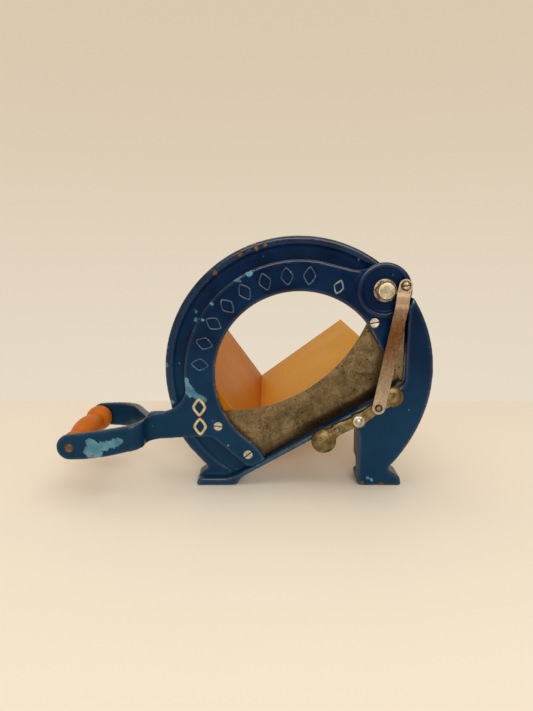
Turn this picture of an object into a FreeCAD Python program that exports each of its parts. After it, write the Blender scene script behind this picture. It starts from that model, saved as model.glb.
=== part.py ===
import FreeCAD, Part
import math
import os
import Sketcher
from FreeCAD import Placement, Rotation, Vector

# Lever bread slicer, in millimetres. X runs to the right along the front, Y runs away from the
# person who cuts, Z is up. Sketches use the ring's centre line as X = 0 and the front of the rail
# as Y = 0; each finished piece is then shifted so that the origin is under the middle of the whole.

doc = FreeCAD.newDocument("LeverBreadSlicer")
sheet = doc.addObject("Spreadsheet::Sheet", "Sizes")

SIZES = {
    # frame casting
    "ring_radius": 140.5,
    "ring_height": 124.5,
    "opening_radius": 112,
    "ring_front": 10,
    "frame_back": 32,
    "plate_thickness": 7,
    "groove_inner": 119,
    "groove_outer": 133,
    "recess_depth": 3,
    "recess_outer": 130,
    "cheek_inner": 111.5,
    "rail_slope": 29.5,
    "rail_height": 43,
    "rail_thickness": 5.4,
    "rocker_boss_radius": 7.8,
    "foot_depth": 42,
    "foot_height": 6,
    # pivot of the cutting arm
    "pivot_across": 86,
    "pivot_height": 210.6,
    "frame_boss_radius": 22,
    "frame_boss_front": 9,
    "bolt_radius": 6,
    "bolt_flats": 19,
    "bolt_head": 8,
    "bush_radius": 9,
    "spacer_radius": 14,
    "washer_radius": 11.5,
    "washer_thickness": 1.5,
    "nut_height": 9,
    "running_gap": 0.05,
    "face_gap": 0.1,
    # cutting arm
    "arm_front": -1,
    "arm_thickness": 7,
    "arm_centre": 1,
    "arm_centre_height": 121.5,
    "arm_outer": 120,
    "arm_inner": 88,
    "arm_boss_radius": 28,
    "boss_clearance": 2.5,
    "ridge_inner": 23,
    "ridge_height": 2,
    "neck_thickness": 9,
    "rest_gap": 0.4,
    # handle
    "pin_reach": 232.7,
    "pin_height": 54.3,
    "fork_end_radius": 13.3,
    "fork_front": -30,
    "fork_back": 91,
    "fork_wall": 6.5,
    "pin_radius": 3,
    "rivet_rise": 1.6,
    "grip_radius": 14.5,
    "grip_washer_thickness": 1.2,
    "grip_washer_radius": 8.5,
    "pin_seat_clearance": 3.5,
    # blade
    "blade_thickness": 2.5,
    "blade_gap": 1.2,
    "blade_right": 110,
    "blade_arc_radius": 157.4,
    "blade_arc_across": -73.5,
    "blade_arc_height": 239.2,
    "bevel_width": 12,
    "bevel_edge": 0.4,
    "blade_screw_radius": 2.5,
    "blade_screw_head": 4.7,
    "slot_width": 1.4,
    # link and thickness rocker
    "stud_across": 105.3,
    "stud_height": 215.6,
    "link_pin_across": 82.3,
    "link_pin_height": 90.5,
    "link_width": 13.4,
    "link_thickness": 1.5,
    "link_top_front": -8.5,
    "link_joggle": 4,
    "link_hole_radius": 4.2,
    "link_pin_radius": 2.5,
    "link_screw_radius": 2.5,
    "link_screw_head": 5,
    "link_spacer_radius": 4.5,
    "stud_seat_radius": 5.2,
    "stud_seat_depth": 0.5,
    "rocker_across": 62.7,
    "rocker_height": 75.5,
    "rocker_front": -9,
    "rocker_thickness": 6,
    "rocker_pin_radius": 3.5,
    "rocker_collar": 6,
    "rocker_nut_flats": 11,
    "rocker_nut_height": 5,
    "rocker_nut_pocket": 8,
    "big_disc_across": 27.1,
    "big_disc_height": 53,
    "big_disc_radius": 13,
    "small_disc_across": 98,
    "small_disc_height": 101,
    "small_disc_radius": 11,
    "spare_pin_across": 40.5,
    "spare_pin_height": 66,
    "pin_boss_radius": 7,
    "waist": 9.6,
    # bread trough
    "trough_front": 10.5,
    "trough_length": 330,
    "vertex_across": -41,
    "vertex_height": 44.5,
    "trough_angle": 36,
    "right_board_width": 162,
    "left_board_width": 102,
    "board_thickness": 12,
    "board_end_gap": 0.5,
    "lug_reach": 30,
    "lug_thickness": 6,
    "wood_screw_radius": 2,
    "wood_screw_head": 4.2,
    "nail_radius": 1,
    # rear leg
    "leg_thickness": 3,
    "leg_setback": 34,
    "leg_flange": 24,
    "leg_spread": 62,
}

# blade screws: across, height and turn of the slot
BLADE_SCREWS = ((77.1, 177.6, 10.0), (-84.5, 67.3, -5.0), (-52.9, 35.7, 40.0))
# how far each rib under a board reaches down at its two ends
LUG_DROP = {"right": (17.0, 21.0), "left": (24.0, 24.0)}
BLADE_FRONT = "Sizes.arm_front + Sizes.arm_thickness"
ARM_SEAT = "(Sizes.arm_front - Sizes.stud_seat_depth)"

for row, (alias, value) in enumerate(SIZES.items(), start=1):
    sheet.set(f"A{row}", alias)
    sheet.set(f"B{row}", str(value))
    sheet.setAlias(f"B{row}", alias)
doc.recompute()

SHIFT_X = "(Sizes.pin_reach + Sizes.grip_radius - Sizes.ring_radius) / 2"
SHIFT_Y = "-(Sizes.trough_front + Sizes.trough_length + Sizes.fork_front - Sizes.rivet_rise) / 2"
ALONG_Y = Rotation(Vector(1, 0, 0), -90)

node_names = []


def size(alias):
    return float(sheet.get(alias))


def value_of(expression):
    return float(sheet.evalExpression(expression))


def bind(thing, **expressions):
    """Tie properties of an object to expressions; __ stands for a dot."""
    for path, expression in expressions.items():
        thing.setExpression(path.replace("__", "."), expression)
    return thing


def node(name, thing):
    """Name a finished piece, which names its file, and place it over the origin."""
    thing.Label = name
    bind(thing, Placement__Base__x=SHIFT_X, Placement__Base__y=SHIFT_Y)
    node_names.append(thing.Name)
    return thing


def origin_plane(body, role):
    return [feature for feature in body.Origin.OriginFeatures if feature.Role == role][0]


def new_sketch(body, role, name):
    sketch = body.newObject("Sketcher::SketchObject", name)
    sketch.AttachmentSupport = [(origin_plane(body, role), "")]
    sketch.MapMode = "FlatFace"
    return sketch


def polar(centre, radius, degrees):
    angle = math.radians(degrees)
    return (centre[0] + radius * math.cos(angle), centre[1] + radius * math.sin(angle))


def angle_about(centre, point):
    return math.degrees(math.atan2(point[1] - centre[1], point[0] - centre[0]))


def add_outline(sketch, steps):
    """Closed outline: a step is an end point, or a pair (middle, end) for an arc."""
    corner = steps[-1] if isinstance(steps[-1][0], (int, float)) else steps[-1][1]
    for step in steps:
        if isinstance(step[0], (int, float)):
            sketch.addGeometry(Part.LineSegment(Vector(*corner, 0), Vector(*step, 0)))
            corner = step
        else:
            middle, end = step
            arc = Part.Arc(Vector(*corner, 0), Vector(*middle, 0), Vector(*end, 0))
            sketch.addGeometry(arc)
            corner = end


def add_bound_polygon(sketch, corners):
    """Closed polygon whose corners are pairs of expressions, held by constraints."""
    points = [(value_of(across), value_of(up)) for across, up in corners]
    count = len(points)
    for index, start in enumerate(points):
        end = points[(index + 1) % count]
        sketch.addGeometry(Part.LineSegment(Vector(*start, 0), Vector(*end, 0)))
    for index in range(count):
        sketch.addConstraint(Sketcher.Constraint("Coincident", index, 2, (index + 1) % count, 1))
    for index, corner in enumerate(corners):
        for kind, expression, number in zip(("DistanceX", "DistanceY"), corner, points[index]):
            place = sketch.addConstraint(Sketcher.Constraint(kind, -1, 1, index, 1, number))
            sketch.setExpression(f"Constraints[{place}]", expression)


def prism(name, steps, front, depth):
    """An outline in the front view, carried from front towards the back."""
    body = doc.addObject("PartDesign::Body", name)
    sketch = new_sketch(body, "XZ_Plane", name + "_outline")
    bind(sketch, AttachmentOffset__Base__z=f"-({front})")
    add_outline(sketch, steps)
    pad = body.newObject("PartDesign::Pad", name + "_pad")
    pad.Profile = sketch
    pad.Reversed = True
    bind(pad, Length=depth)
    return body


def bound_prism(name, corners, front, depth):
    """A front view polygon of expressions, carried from front towards the back."""
    body = doc.addObject("PartDesign::Body", name)
    sketch = new_sketch(body, "XZ_Plane", name + "_outline")
    bind(sketch, AttachmentOffset__Base__z=f"-({front})")
    add_bound_polygon(sketch, corners)
    pad = body.newObject("PartDesign::Pad", name + "_pad")
    pad.Profile = sketch
    pad.Reversed = True
    bind(pad, Length=depth)
    return body


def turned(name, corners, across, height):
    """A lathe-turned piece: corners are (radius, y), spun about a line along Y."""
    body = doc.addObject("PartDesign::Body", name)
    sketch = new_sketch(body, "XY_Plane", name + "_profile")
    add_bound_polygon(sketch, corners)
    spin = body.newObject("PartDesign::Revolution", name + "_turning")
    spin.Profile = sketch
    spin.ReferenceAxis = (sketch, ["V_Axis"])
    spin.Angle = 360
    bind(body, Placement__Base__x=across, Placement__Base__z=height)
    return body


def rod(name, across, height, front, radius, length):
    """A plain cylinder along Y that starts at front."""
    cylinder = doc.addObject("Part::Cylinder", name)
    cylinder.Placement = Placement(Vector(0, 0, 0), ALONG_Y)
    bind(cylinder, Radius=radius, Height=length)
    bind(cylinder, Placement__Base__x=across, Placement__Base__y=front, Placement__Base__z=height)
    return cylinder


def cone(name, across, height, front, front_radius, back_radius, length):
    """A cone along Y, for a countersink."""
    taper = doc.addObject("Part::Cone", name)
    taper.Placement = Placement(Vector(0, 0, 0), ALONG_Y)
    bind(taper, Radius1=front_radius, Radius2=back_radius, Height=length)
    bind(taper, Placement__Base__x=across, Placement__Base__y=front, Placement__Base__z=height)
    return taper


def hexagon(name, across, height, front, flats, length, turn=0):
    """A six-sided prism along Y, given across its flats."""
    prism_six = doc.addObject("Part::Prism", name)
    prism_six.Polygon = 6
    prism_six.Placement = Placement(Vector(0, 0, 0), ALONG_Y * Rotation(Vector(0, 0, 1), turn))
    bind(prism_six, Circumradius=f"({flats}) / 2 / cos(30)", Height=length)
    bind(prism_six, Placement__Base__x=across, Placement__Base__y=front, Placement__Base__z=height)
    return prism_six


def fuse(name, pieces):
    union = doc.addObject("Part::MultiFuse", name)
    union.Shapes = pieces
    union.Refine = True
    return union


def cut(name, base, tools):
    difference = doc.addObject("Part::Cut", name)
    difference.Base = base
    difference.Tool = tools[0] if len(tools) == 1 else fuse(name + "_tools", tools)
    difference.Refine = True
    return difference


def common(name, first, second):
    overlap = doc.addObject("Part::Common", name)
    overlap.Base = first
    overlap.Tool = second
    return overlap


def slot(name, across, height, front, head_radius, depth, turn):
    """The cutter for a screwdriver slot across a head that faces the front."""
    cutter = doc.addObject("Part::Box", name)
    width = size("slot_width")
    bind(cutter, Length=f"2 * ({head_radius}) + 2", Width=f"{depth} + 2", Height="Sizes.slot_width")
    half = value_of(head_radius) + 1
    spin = Rotation(Vector(0, 1, 0), -turn)
    corner = spin.multVec(Vector(-half, 0, -width / 2))
    cutter.Placement = Placement(corner, spin)
    bind(
        cutter,
        Placement__Base__x=f"({across}) + {corner.x}",
        Placement__Base__y=f"({front}) - 2",
        Placement__Base__z=f"({height}) + {corner.z}",
    )
    return cutter


# ---- shared lines and points, worked out from the sheet ----

ring_centre = (0.0, size("ring_height"))
arm_centre = (size("arm_centre"), size("arm_centre_height"))
pivot = (size("pivot_across"), size("pivot_height"))
blade_centre = (size("blade_arc_across"), size("blade_arc_height"))
slope = math.tan(math.radians(size("rail_slope")))
rail_rise = size("rail_thickness") / math.cos(math.radians(size("rail_slope")))
gap_rise = 1 / math.cos(math.radians(size("rail_slope")))


def rail_under(across):
    return (across, size("rail_height") + slope * across)


def rail_top(across, gap=0.0):
    return (across, size("rail_height") + slope * across + rail_rise + gap * gap_rise)


def on_circle_at_height(centre, radius, height, side):
    """The point of a circle at a height, on its left (-1) or right (1)."""
    reach = math.sqrt(radius ** 2 - (height - centre[1]) ** 2)
    return (centre[0] + side * reach, height)


def meet_line(centre, radius, line, side):
    """Where a circle meets a straight line of the rail, on its left or right."""
    base = line(0.0)
    drop = base[1] - centre[1]
    a = 1 + slope ** 2
    b = 2 * (slope * drop - centre[0])
    c = centre[0] ** 2 + drop ** 2 - radius ** 2
    across = (-b + side * math.sqrt(b ** 2 - 4 * a * c)) / (2 * a)
    return line(across)


def board_point(along, out, board):
    """A point of the trough's section: along a board from the V, and out from its face."""
    lean = math.radians(size("trough_angle"))
    vertex = (size("vertex_across"), size("vertex_height"))
    if board == "right":
        run = (math.cos(lean), math.sin(lean))
        away = (math.sin(lean), -math.cos(lean))
    else:
        run = (-math.sin(lean), math.cos(lean))
        away = (-math.cos(lean), -math.sin(lean))
    return (
        vertex[0] + along * run[0] + out * away[0],
        vertex[1] + along * run[1] + out * away[1],
    )


def board_outline(board, extra=0.0):
    """The section of a board: the right one also covers the left one's lower edge."""
    thick = size("board_thickness")
    start = -thick if board == "right" else 0.0
    end = size(f"{board}_board_width") + extra
    return [
        board_point(start, 0.0, board),
        board_point(end, 0.0, board),
        board_point(end, thick, board),
        board_point(start, thick, board),
    ]


# ---- frame casting ----

def right_leg_steps():
    """From the ring's lower right, down round the right foot and up to the rail."""
    return [
        ((121.5, 52.8), (101.5, 23.6)),
        ((98.9, 19.4), (101.6, 15.4)),
        (111.2, 9.0),
        (112.5, 1.6),
        ((112.03, 0.47), (110.9, 0.0)),
        (69.3, 0.0),
        ((66.47, 1.17), (65.3, 4.0)),
        (64.4, 57.0),
        (60.5, 68.0),
        rail_under(54.0),
    ]


def left_foot_steps():
    """Along under the rail and round the left foot to its toe."""
    return [
        rail_under(-59.0),
        ((-62.2, 6.0), (-64.4, 2.6)),
        ((-65.16, 0.76), (-67.0, 0.0)),
        (-107.2, 0.0),
        ((-108.61, 0.59), (-109.2, 2.0)),
    ]


def build_frame():
    ring_right = on_circle_at_height(ring_centre, size("ring_radius"), 76.0, 1)
    ring_left = on_circle_at_height(ring_centre, size("ring_radius"), 88.0, -1)
    silhouette = [ring_right]
    silhouette += right_leg_steps()
    silhouette += left_foot_steps()
    silhouette += [
        (-107.4, 8.2),
        (-99.5, 13.4),
        ((-98.0, 17.0), (-101.2, 21.6)),
        (-116.5, 39.2),
        ((-129.0, 60.5), ring_left),
        ((0.0, ring_centre[1] + size("ring_radius")), ring_right),
    ]
    casting = prism(
        "frame_casting", silhouette[1:], "Sizes.ring_front", "Sizes.frame_back - Sizes.ring_front"
    )

    corner_left = meet_line(ring_centre, size("opening_radius"), rail_top, -1)
    corner_right = meet_line(ring_centre, size("opening_radius"), rail_top, 1)
    opening = prism(
        "bread_opening",
        [corner_right, ((0.0, ring_centre[1] + size("opening_radius")), corner_left)],
        "Sizes.ring_front - 20",
        "Sizes.frame_back + 40",
    )
    recess = recess_ring()
    groove = back_groove()
    cheek = build_cheek()
    boss = rod(
        "frame_boss", "Sizes.pivot_across", "Sizes.pivot_height", "Sizes.frame_boss_front",
        "Sizes.frame_boss_radius", "Sizes.frame_back - Sizes.frame_boss_front",
    )
    rocker_boss = rod(
        "rocker_boss", "Sizes.rocker_across", "Sizes.rocker_height", "0",
        "Sizes.rocker_boss_radius", "Sizes.ring_front + Sizes.plate_thickness",
    )
    nut_pocket = rod(
        "rocker_nut_pocket", "Sizes.rocker_across", "Sizes.rocker_height",
        "Sizes.ring_front + Sizes.plate_thickness", "Sizes.rocker_nut_pocket", "Sizes.frame_back",
    )
    hollow = cut(
        "hollow_casting", casting, [opening, recess, groove] + leg_pockets() + board_ways()
    )
    extras = [cheek, boss, rocker_boss] + foot_flanges() + trough_lugs()
    solid = fuse("frame_solid", [hollow] + extras)
    bolt_hole = rod(
        "frame_bolt_hole", "Sizes.pivot_across", "Sizes.pivot_height", "-50",
        "Sizes.bolt_radius", "150",
    )
    rocker_hole = rod(
        "frame_rocker_hole", "Sizes.rocker_across", "Sizes.rocker_height", "-50",
        "Sizes.rocker_pin_radius", "150",
    )
    ways = [bolt_hole, rocker_hole, nut_pocket] + screw_shanks("lug")
    return node("frame", cut("frame", solid, ways))


def recess_ring():
    """The shallow dish in the ring's front, between its rim and the opening."""
    body = doc.addObject("PartDesign::Body", "ring_recess")
    sketch = new_sketch(body, "XY_Plane", "ring_recess_profile")
    add_bound_polygon(
        sketch,
        [
            ("Sizes.opening_radius - 1", "Sizes.ring_front - 1"),
            ("Sizes.recess_outer + Sizes.recess_depth + 1", "Sizes.ring_front - 1"),
            ("Sizes.recess_outer", "Sizes.ring_front + Sizes.recess_depth"),
            ("Sizes.opening_radius - 1", "Sizes.ring_front + Sizes.recess_depth"),
        ],
    )
    spin = body.newObject("PartDesign::Revolution", "ring_recess_turning")
    spin.Profile = sketch
    spin.ReferenceAxis = (sketch, ["V_Axis"])
    spin.Angle = 360
    bind(body, Placement__Base__z="Sizes.ring_height")
    return body


def back_groove():
    """The hollow in the back of the ring, which leaves its wall and rim."""
    outer = rod(
        "groove_outer_wall", "0", "Sizes.ring_height", "Sizes.ring_front + Sizes.plate_thickness",
        "Sizes.groove_outer", "Sizes.frame_back",
    )
    inner = rod("groove_inner_wall", "0", "Sizes.ring_height", "0", "Sizes.groove_inner", "200")
    return cut("back_groove", outer, [inner])


def leg_pockets():
    """The hollows in the backs of the two legs."""
    right = prism(
        "right_leg_pocket",
        [
            (71.5, 8.0),
            (96.0, 8.0),
            (93.0, 22.0),
            (110.0, 46.0),
            (118.0, 68.0),
            (86.0, 78.0),
            (71.0, 66.0),
        ],
        "Sizes.ring_front + Sizes.plate_thickness",
        "Sizes.frame_back",
    )
    left = prism(
        "left_leg_pocket",
        [
            (-92.0, 8.0),
            (-70.0, 8.0),
            (-58.0, 16.0),
            (-74.0, 36.0),
            (-101.0, 58.0),
            (-113.0, 50.0),
            (-92.0, 20.0),
        ],
        "Sizes.ring_front + Sizes.plate_thickness",
        "Sizes.frame_back",
    )
    return [right, left]


def build_cheek():
    """The front layer: right leg and cheek, the rail, and the ledge of the left foot."""
    inner = size("cheek_inner")
    top = on_circle_at_height(ring_centre, size("ring_radius"), pivot[1] - 5.0, 1)
    ring_right = on_circle_at_height(ring_centre, size("ring_radius"), 76.0, 1)
    ring_mid = polar(ring_centre, size("ring_radius"), 5)
    corner = rail_top(inner)
    bend = 5.0
    steps = [ring_right]
    steps += right_leg_steps()
    steps += left_foot_steps()
    steps += [
        (-106.6, 8.2),
        (-79.0, 8.2),
        ((-69.0, 10.6), rail_top(-60.0)),
        rail_top(inner - bend),
        ((corner[0] - 0.25 * bend, corner[1] + 0.3 * bend), (inner, corner[1] + bend)),
        (inner, top[1]),
        top,
        (ring_mid, ring_right),
    ]
    layer = prism("cheek_layer", steps[1:], "0", "Sizes.ring_front")
    clearance = rod(
        "arm_boss_clearance", "Sizes.pivot_across", "Sizes.pivot_height", "-10",
        "Sizes.arm_boss_radius + Sizes.boss_clearance", "Sizes.ring_front + 10",
    )
    return cut("cheek", layer, [clearance])


def board_ways():
    """Where a board is deeper than the opening leaves room for, the ring gives way to it."""
    return [
        prism(
            f"{board}_board_way", board_outline(board, size("board_end_gap")),
            "Sizes.trough_front - 0.3", "Sizes.frame_back",
        )
        for board in ("right", "left")
    ]


def foot_flanges():
    """The flat soles under both legs."""
    right = bound_prism(
        "right_sole",
        [("69.3", "0"), ("110.9", "0"), ("110.9", "Sizes.foot_height"), ("69.3", "Sizes.foot_height")],
        "Sizes.ring_front",
        "Sizes.foot_depth - Sizes.ring_front",
    )
    left = bound_prism(
        "left_sole",
        [("-107.2", "0"), ("-67", "0"), ("-67", "Sizes.foot_height"), ("-107.2", "Sizes.foot_height")],
        "Sizes.ring_front",
        "Sizes.foot_depth - Sizes.ring_front",
    )
    return [right, left]


def trough_lugs():
    """Ribs that rise from the opening to the boards, and the shelves that the boards lie on."""
    out = size("board_thickness")
    shelf = size("lug_thickness")
    lugs = []
    for board, start, end in (("right", 70.0, 110.0), ("left", 24.0, 60.0)):
        rib_outline = [
            board_point(start, out, board),
            board_point(end, out, board),
            board_point(end, out + LUG_DROP[board][1], board),
            board_point(start, out + LUG_DROP[board][0], board),
        ]
        rib = prism(
            f"{board}_rib", rib_outline, "Sizes.ring_front + 2",
            "Sizes.frame_back - Sizes.ring_front - 2",
        )
        shelf_outline = [
            board_point(start, out, board),
            board_point(end, out, board),
            board_point(end, out + shelf, board),
            board_point(start, out + shelf, board),
        ]
        ledge = prism(
            f"{board}_lug", shelf_outline, "Sizes.ring_front + 2",
            "Sizes.frame_back - Sizes.ring_front - 2 + Sizes.lug_reach",
        )
        lugs += [rib, ledge]
    return lugs


# ---- cutting arm ----

def arm_steps():
    """The sickle: neck, outer sweep, boss, tail, inner sweep and heel."""
    outer = size("arm_outer")
    inner = size("arm_inner")
    boss = size("arm_boss_radius")
    heel = rail_top(-34.5, size("rest_gap"))
    heel_end = rail_top(-46.0, size("rest_gap"))
    tail_start = on_circle_at_height(arm_centre, inner, 177.2, 1)
    sweep_start = on_circle_at_height(arm_centre, outer, 107.0, -1)
    sweep_end = polar(arm_centre, outer, 80.4)
    inner_end = polar(arm_centre, inner, 234.4)
    return [
        (-158.0, 52.6),
        (-158.0, 81.8),
        (-142.2, 82.6),
        ((-130.8, 87.0), (-122.8, 95.4)),
        ((-119.4, 101.2), sweep_start),
        (polar(arm_centre, outer, 130), sweep_end),
        (50.0, 232.6),
        ((60.5, 231.0), polar(pivot, boss, 126)),
        (polar(pivot, boss, 45), polar(pivot, boss, -29)),
        (108.8, 172.0),
        (103.3, 148.0),
        (86.4, 147.5),
        tail_start,
        (polar(arm_centre, inner, 140), inner_end),
        ((-42.6, 42.8), heel),
        heel_end,
        ((-50.5, 22.2), (-55.5, 23.4)),
        (-90.5, 54.6),
        (-97.0, 55.4),
        (-121.8, 54.6),
    ]


def fork_plan_steps():
    """The stirrup seen from above: near arm, rounded root and curved far arm, bends tangent."""
    wall = size("fork_wall")
    near = size("fork_front")
    far = size("fork_back")
    front = size("arm_front")
    back = front + size("neck_thickness")
    end = -(size("pin_reach") + size("fork_end_radius") + 2)
    lean = 25.0
    lean_cos = math.cos(math.radians(lean))
    lean_sin = math.sin(math.radians(lean))
    far_radius = 63.5
    root_radius = 20.0
    neck_radius = 14.0
    # the far arm bends about one point, inside and outside, then leans in to the root
    bend = (-240.0, far - wall - far_radius)
    root_depth = near + wall + root_radius
    root_reach = far_radius - root_radius - (root_depth - bend[1]) * lean_sin
    root = (bend[0] + root_reach / lean_cos, root_depth)
    fillet_depth = back + neck_radius
    fillet_reach = far_radius + wall + neck_radius - (fillet_depth - bend[1]) * lean_sin
    fillet = (bend[0] + fillet_reach / lean_cos, fillet_depth)
    # two equal arcs step from the near arm's face to the neck's face
    step_start = (-172.0, near)
    step_end = (-146.0, front)
    step_run = step_end[0] - step_start[0]
    step_rise = front - near
    step_radius = (step_run ** 2 + step_rise ** 2) / (4 * step_rise)
    step_turn = 2 * math.degrees(math.atan2(step_rise, step_run))
    first = (step_start[0], near + step_radius)
    second = (step_end[0], front - step_radius)
    return [
        (end, near),
        step_start,
        (
            polar(first, step_radius, step_turn / 2 - 90),
            polar(first, step_radius, step_turn - 90),
        ),
        (polar(second, step_radius, 90 + step_turn / 2), step_end),
        (-144.0, front),
        (-144.0, back),
        (fillet[0], back),
        (
            polar(fillet, neck_radius, (180 + lean + 270) / 2),
            polar(fillet, neck_radius, 180 + lean),
        ),
        polar(bend, far_radius + wall, lean),
        (polar(bend, far_radius + wall, (lean + 90) / 2), (bend[0], far)),
        (end, far),
        (end, far - wall),
        (bend[0], far - wall),
        (polar(bend, far_radius, (lean + 90) / 2), polar(bend, far_radius, lean)),
        polar(root, root_radius, lean),
        (polar(root, root_radius, (lean - 90) / 2), (root[0], near + wall)),
        (end, near + wall),
    ]


def fork_side_steps():
    """The stirrup seen from the front: a bar that thickens towards the neck."""
    reach = -size("pin_reach")
    height = size("pin_height")
    tip = size("fork_end_radius")
    return [
        ((-188.0, 73.6), (-144.0, 82.4)),
        (-144.0, 53.4),
        (-156.5, 52.2),
        (-176.0, 49.0),
        ((-205.0, 43.0), (reach, height - tip)),
        ((reach - tip, height), (reach, height + tip)),
    ]


def build_arm():
    plate = prism("arm_plate", arm_steps(), "Sizes.arm_front", "Sizes.arm_thickness")
    neck = prism(
        "neck_thickening",
        [(-158.0, 52.6), (-158.0, 81.8), (-142.4, 82.4), (-142.4, 53.6)],
        "Sizes.arm_front",
        "Sizes.neck_thickness",
    )
    plan = doc.addObject("PartDesign::Body", "fork_plan")
    sketch = new_sketch(plan, "XY_Plane", "fork_plan_outline")
    add_outline(sketch, fork_plan_steps())
    pad = plan.newObject("PartDesign::Pad", "fork_plan_pad")
    pad.Profile = sketch
    pad.Length = 120
    side = prism(
        "fork_side", fork_side_steps(), "Sizes.fork_front - 5",
        "Sizes.fork_back - Sizes.fork_front + 10",
    )
    fork = common("fork", plan, side)
    boss = rod(
        "arm_boss", "Sizes.pivot_across", "Sizes.pivot_height", "Sizes.arm_front - Sizes.ridge_height",
        "Sizes.arm_boss_radius", "Sizes.arm_thickness + Sizes.ridge_height",
    )
    dish = rod(
        "boss_dish", "Sizes.pivot_across", "Sizes.pivot_height", "Sizes.arm_front - 10",
        "Sizes.ridge_inner", "9.5",
    )
    bore = rod(
        "arm_bore", "Sizes.pivot_across", "Sizes.pivot_height", "-50", "Sizes.bush_radius", "100"
    )
    stud_hole = rod(
        "stud_hole", "Sizes.stud_across", "Sizes.stud_height", "-50", "Sizes.link_screw_radius", "100"
    )
    stud_seat = rod(
        "stud_seat", "Sizes.stud_across", "Sizes.stud_height", f"{ARM_SEAT} - 10",
        "Sizes.stud_seat_radius", "10",
    )
    pin_hole = rod(
        "fork_pin_hole", "-Sizes.pin_reach", "Sizes.pin_height", "-60", "Sizes.pin_radius", "200"
    )
    # a flat is milled inside the curved far arm for the washer and the end of the grip
    pin_seat = rod(
        "fork_pin_seat", "-Sizes.pin_reach", "Sizes.pin_height", "Sizes.fork_front + 2 * Sizes.fork_wall",
        "Sizes.grip_washer_radius + Sizes.pin_seat_clearance",
        "Sizes.fork_back - Sizes.fork_front - 3 * Sizes.fork_wall",
    )
    casting = fuse("arm_casting", [plate, neck, fork, boss])
    tools = [dish, bore, stud_hole, stud_seat, pin_hole, pin_seat] + blade_screw_cutters()
    return node("cutting_arm", cut("cutting_arm", casting, tools))


# ---- blade ----

def blade_steps():
    """Sheet steel: hollow back, straight edge along the rail, ends under the arm."""
    radius = size("blade_arc_radius")
    gap = size("blade_gap")
    right = size("blade_right")
    left_end = polar(blade_centre, radius, 265.0)
    right_end = polar(blade_centre, radius, 340.2)
    return [
        rail_top(-47.0, gap + 1),
        rail_top(right - 8.0, gap),
        (right, rail_top(right, gap)[1] + 6.0),
        (right, 168.0),
        (104.0, 182.0),
        (82.0, 189.0),
        right_end,
        (polar(blade_centre, radius, 300), left_end),
        (-93.0, 76.0),
        (-93.0, 62.0),
    ]


def build_blade():
    blank = prism("blade_blank", blade_steps(), BLADE_FRONT, "Sizes.blade_thickness")
    bevel = bevel_cutter()
    holes = [
        rod(f"blade_hole_{index}", str(across), str(height), "-20", "Sizes.blade_screw_radius", "60")
        for index, (across, height, turn) in enumerate(BLADE_SCREWS)
    ]
    return node("blade", cut("blade", blank, [bevel] + holes))


def bevel_cutter():
    """A long wedge that grinds the front of the straight edge, hidden ends left square."""
    body = doc.addObject("PartDesign::Body", "bevel_wedge")
    sketch = new_sketch(body, "YZ_Plane", "bevel_wedge_section")
    add_bound_polygon(
        sketch,
        [
            ("-2", "-1"),
            ("Sizes.blade_thickness - Sizes.bevel_edge", "-1"),
            ("Sizes.blade_thickness - Sizes.bevel_edge", "0"),
            ("0", "Sizes.bevel_width"),
            ("-2", "Sizes.bevel_width"),
        ],
    )
    pad = body.newObject("PartDesign::Pad", "bevel_wedge_pad")
    pad.Profile = sketch
    pad.Length = 165
    start = rail_top(-34.0, size("blade_gap"))
    body.Placement = Placement(
        Vector(start[0], value_of(BLADE_FRONT), start[1]),
        Rotation(Vector(0, 1, 0), -size("rail_slope")),
    )
    return body


def blade_screw_cutters():
    cutters = []
    depth = "(Sizes.blade_screw_head - Sizes.blade_screw_radius)"
    for index, (across, height, turn) in enumerate(BLADE_SCREWS):
        cutters.append(rod(
            f"screw_way_{index}", str(across), str(height), "-20", "Sizes.blade_screw_radius", "60"
        ))
        cutters.append(
            cone(
                f"countersink_{index}", str(across), str(height), "Sizes.arm_front",
                "Sizes.blade_screw_head", "Sizes.blade_screw_radius", depth,
            )
        )
    return cutters


def build_blade_screws():
    """Three slotted countersunk screws that hold the blade to the arm."""
    screws = []
    depth = "(Sizes.blade_screw_head - Sizes.blade_screw_radius)"
    for index, (across, height, turn) in enumerate(BLADE_SCREWS):
        head = cone(
            f"screw_head_{index}", str(across), str(height), "Sizes.arm_front",
            "Sizes.blade_screw_head", "Sizes.blade_screw_radius", depth,
        )
        shank = rod(
            f"screw_shank_{index}", str(across), str(height), "Sizes.arm_front",
            "Sizes.blade_screw_radius", "Sizes.arm_thickness + Sizes.blade_thickness",
        )
        driver = slot(
            f"screw_slot_{index}", str(across), str(height), "Sizes.arm_front",
            "Sizes.blade_screw_head", "1.2", turn,
        )
        blank = fuse(f"screw_solid_{index}", [head, shank])
        screws.append(cut(f"blade_screw_{index}", blank, [driver]))
    group = doc.addObject("Part::Compound", "blade_screws")
    group.Links = screws
    return node("blade_screws", group)


# ---- pivot hardware ----

def ring_of(name, across, height, front, outside, inside, length):
    """A flat ring along Y: a washer, spacer or bush."""
    disc = rod(name + "_outside", across, height, front, outside, length)
    way = rod(name + "_inside", across, height, "-60", inside, "200")
    return cut(name, disc, [way])


def nut_of(name, across, height, front, flats, inside, length, turn):
    """A hexagon nut along Y."""
    blank = hexagon(name + "_hexagon", across, height, front, flats, length, turn)
    way = rod(name + "_inside", across, height, "-60", inside, "200")
    return cut(name, blank, [way])


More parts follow.
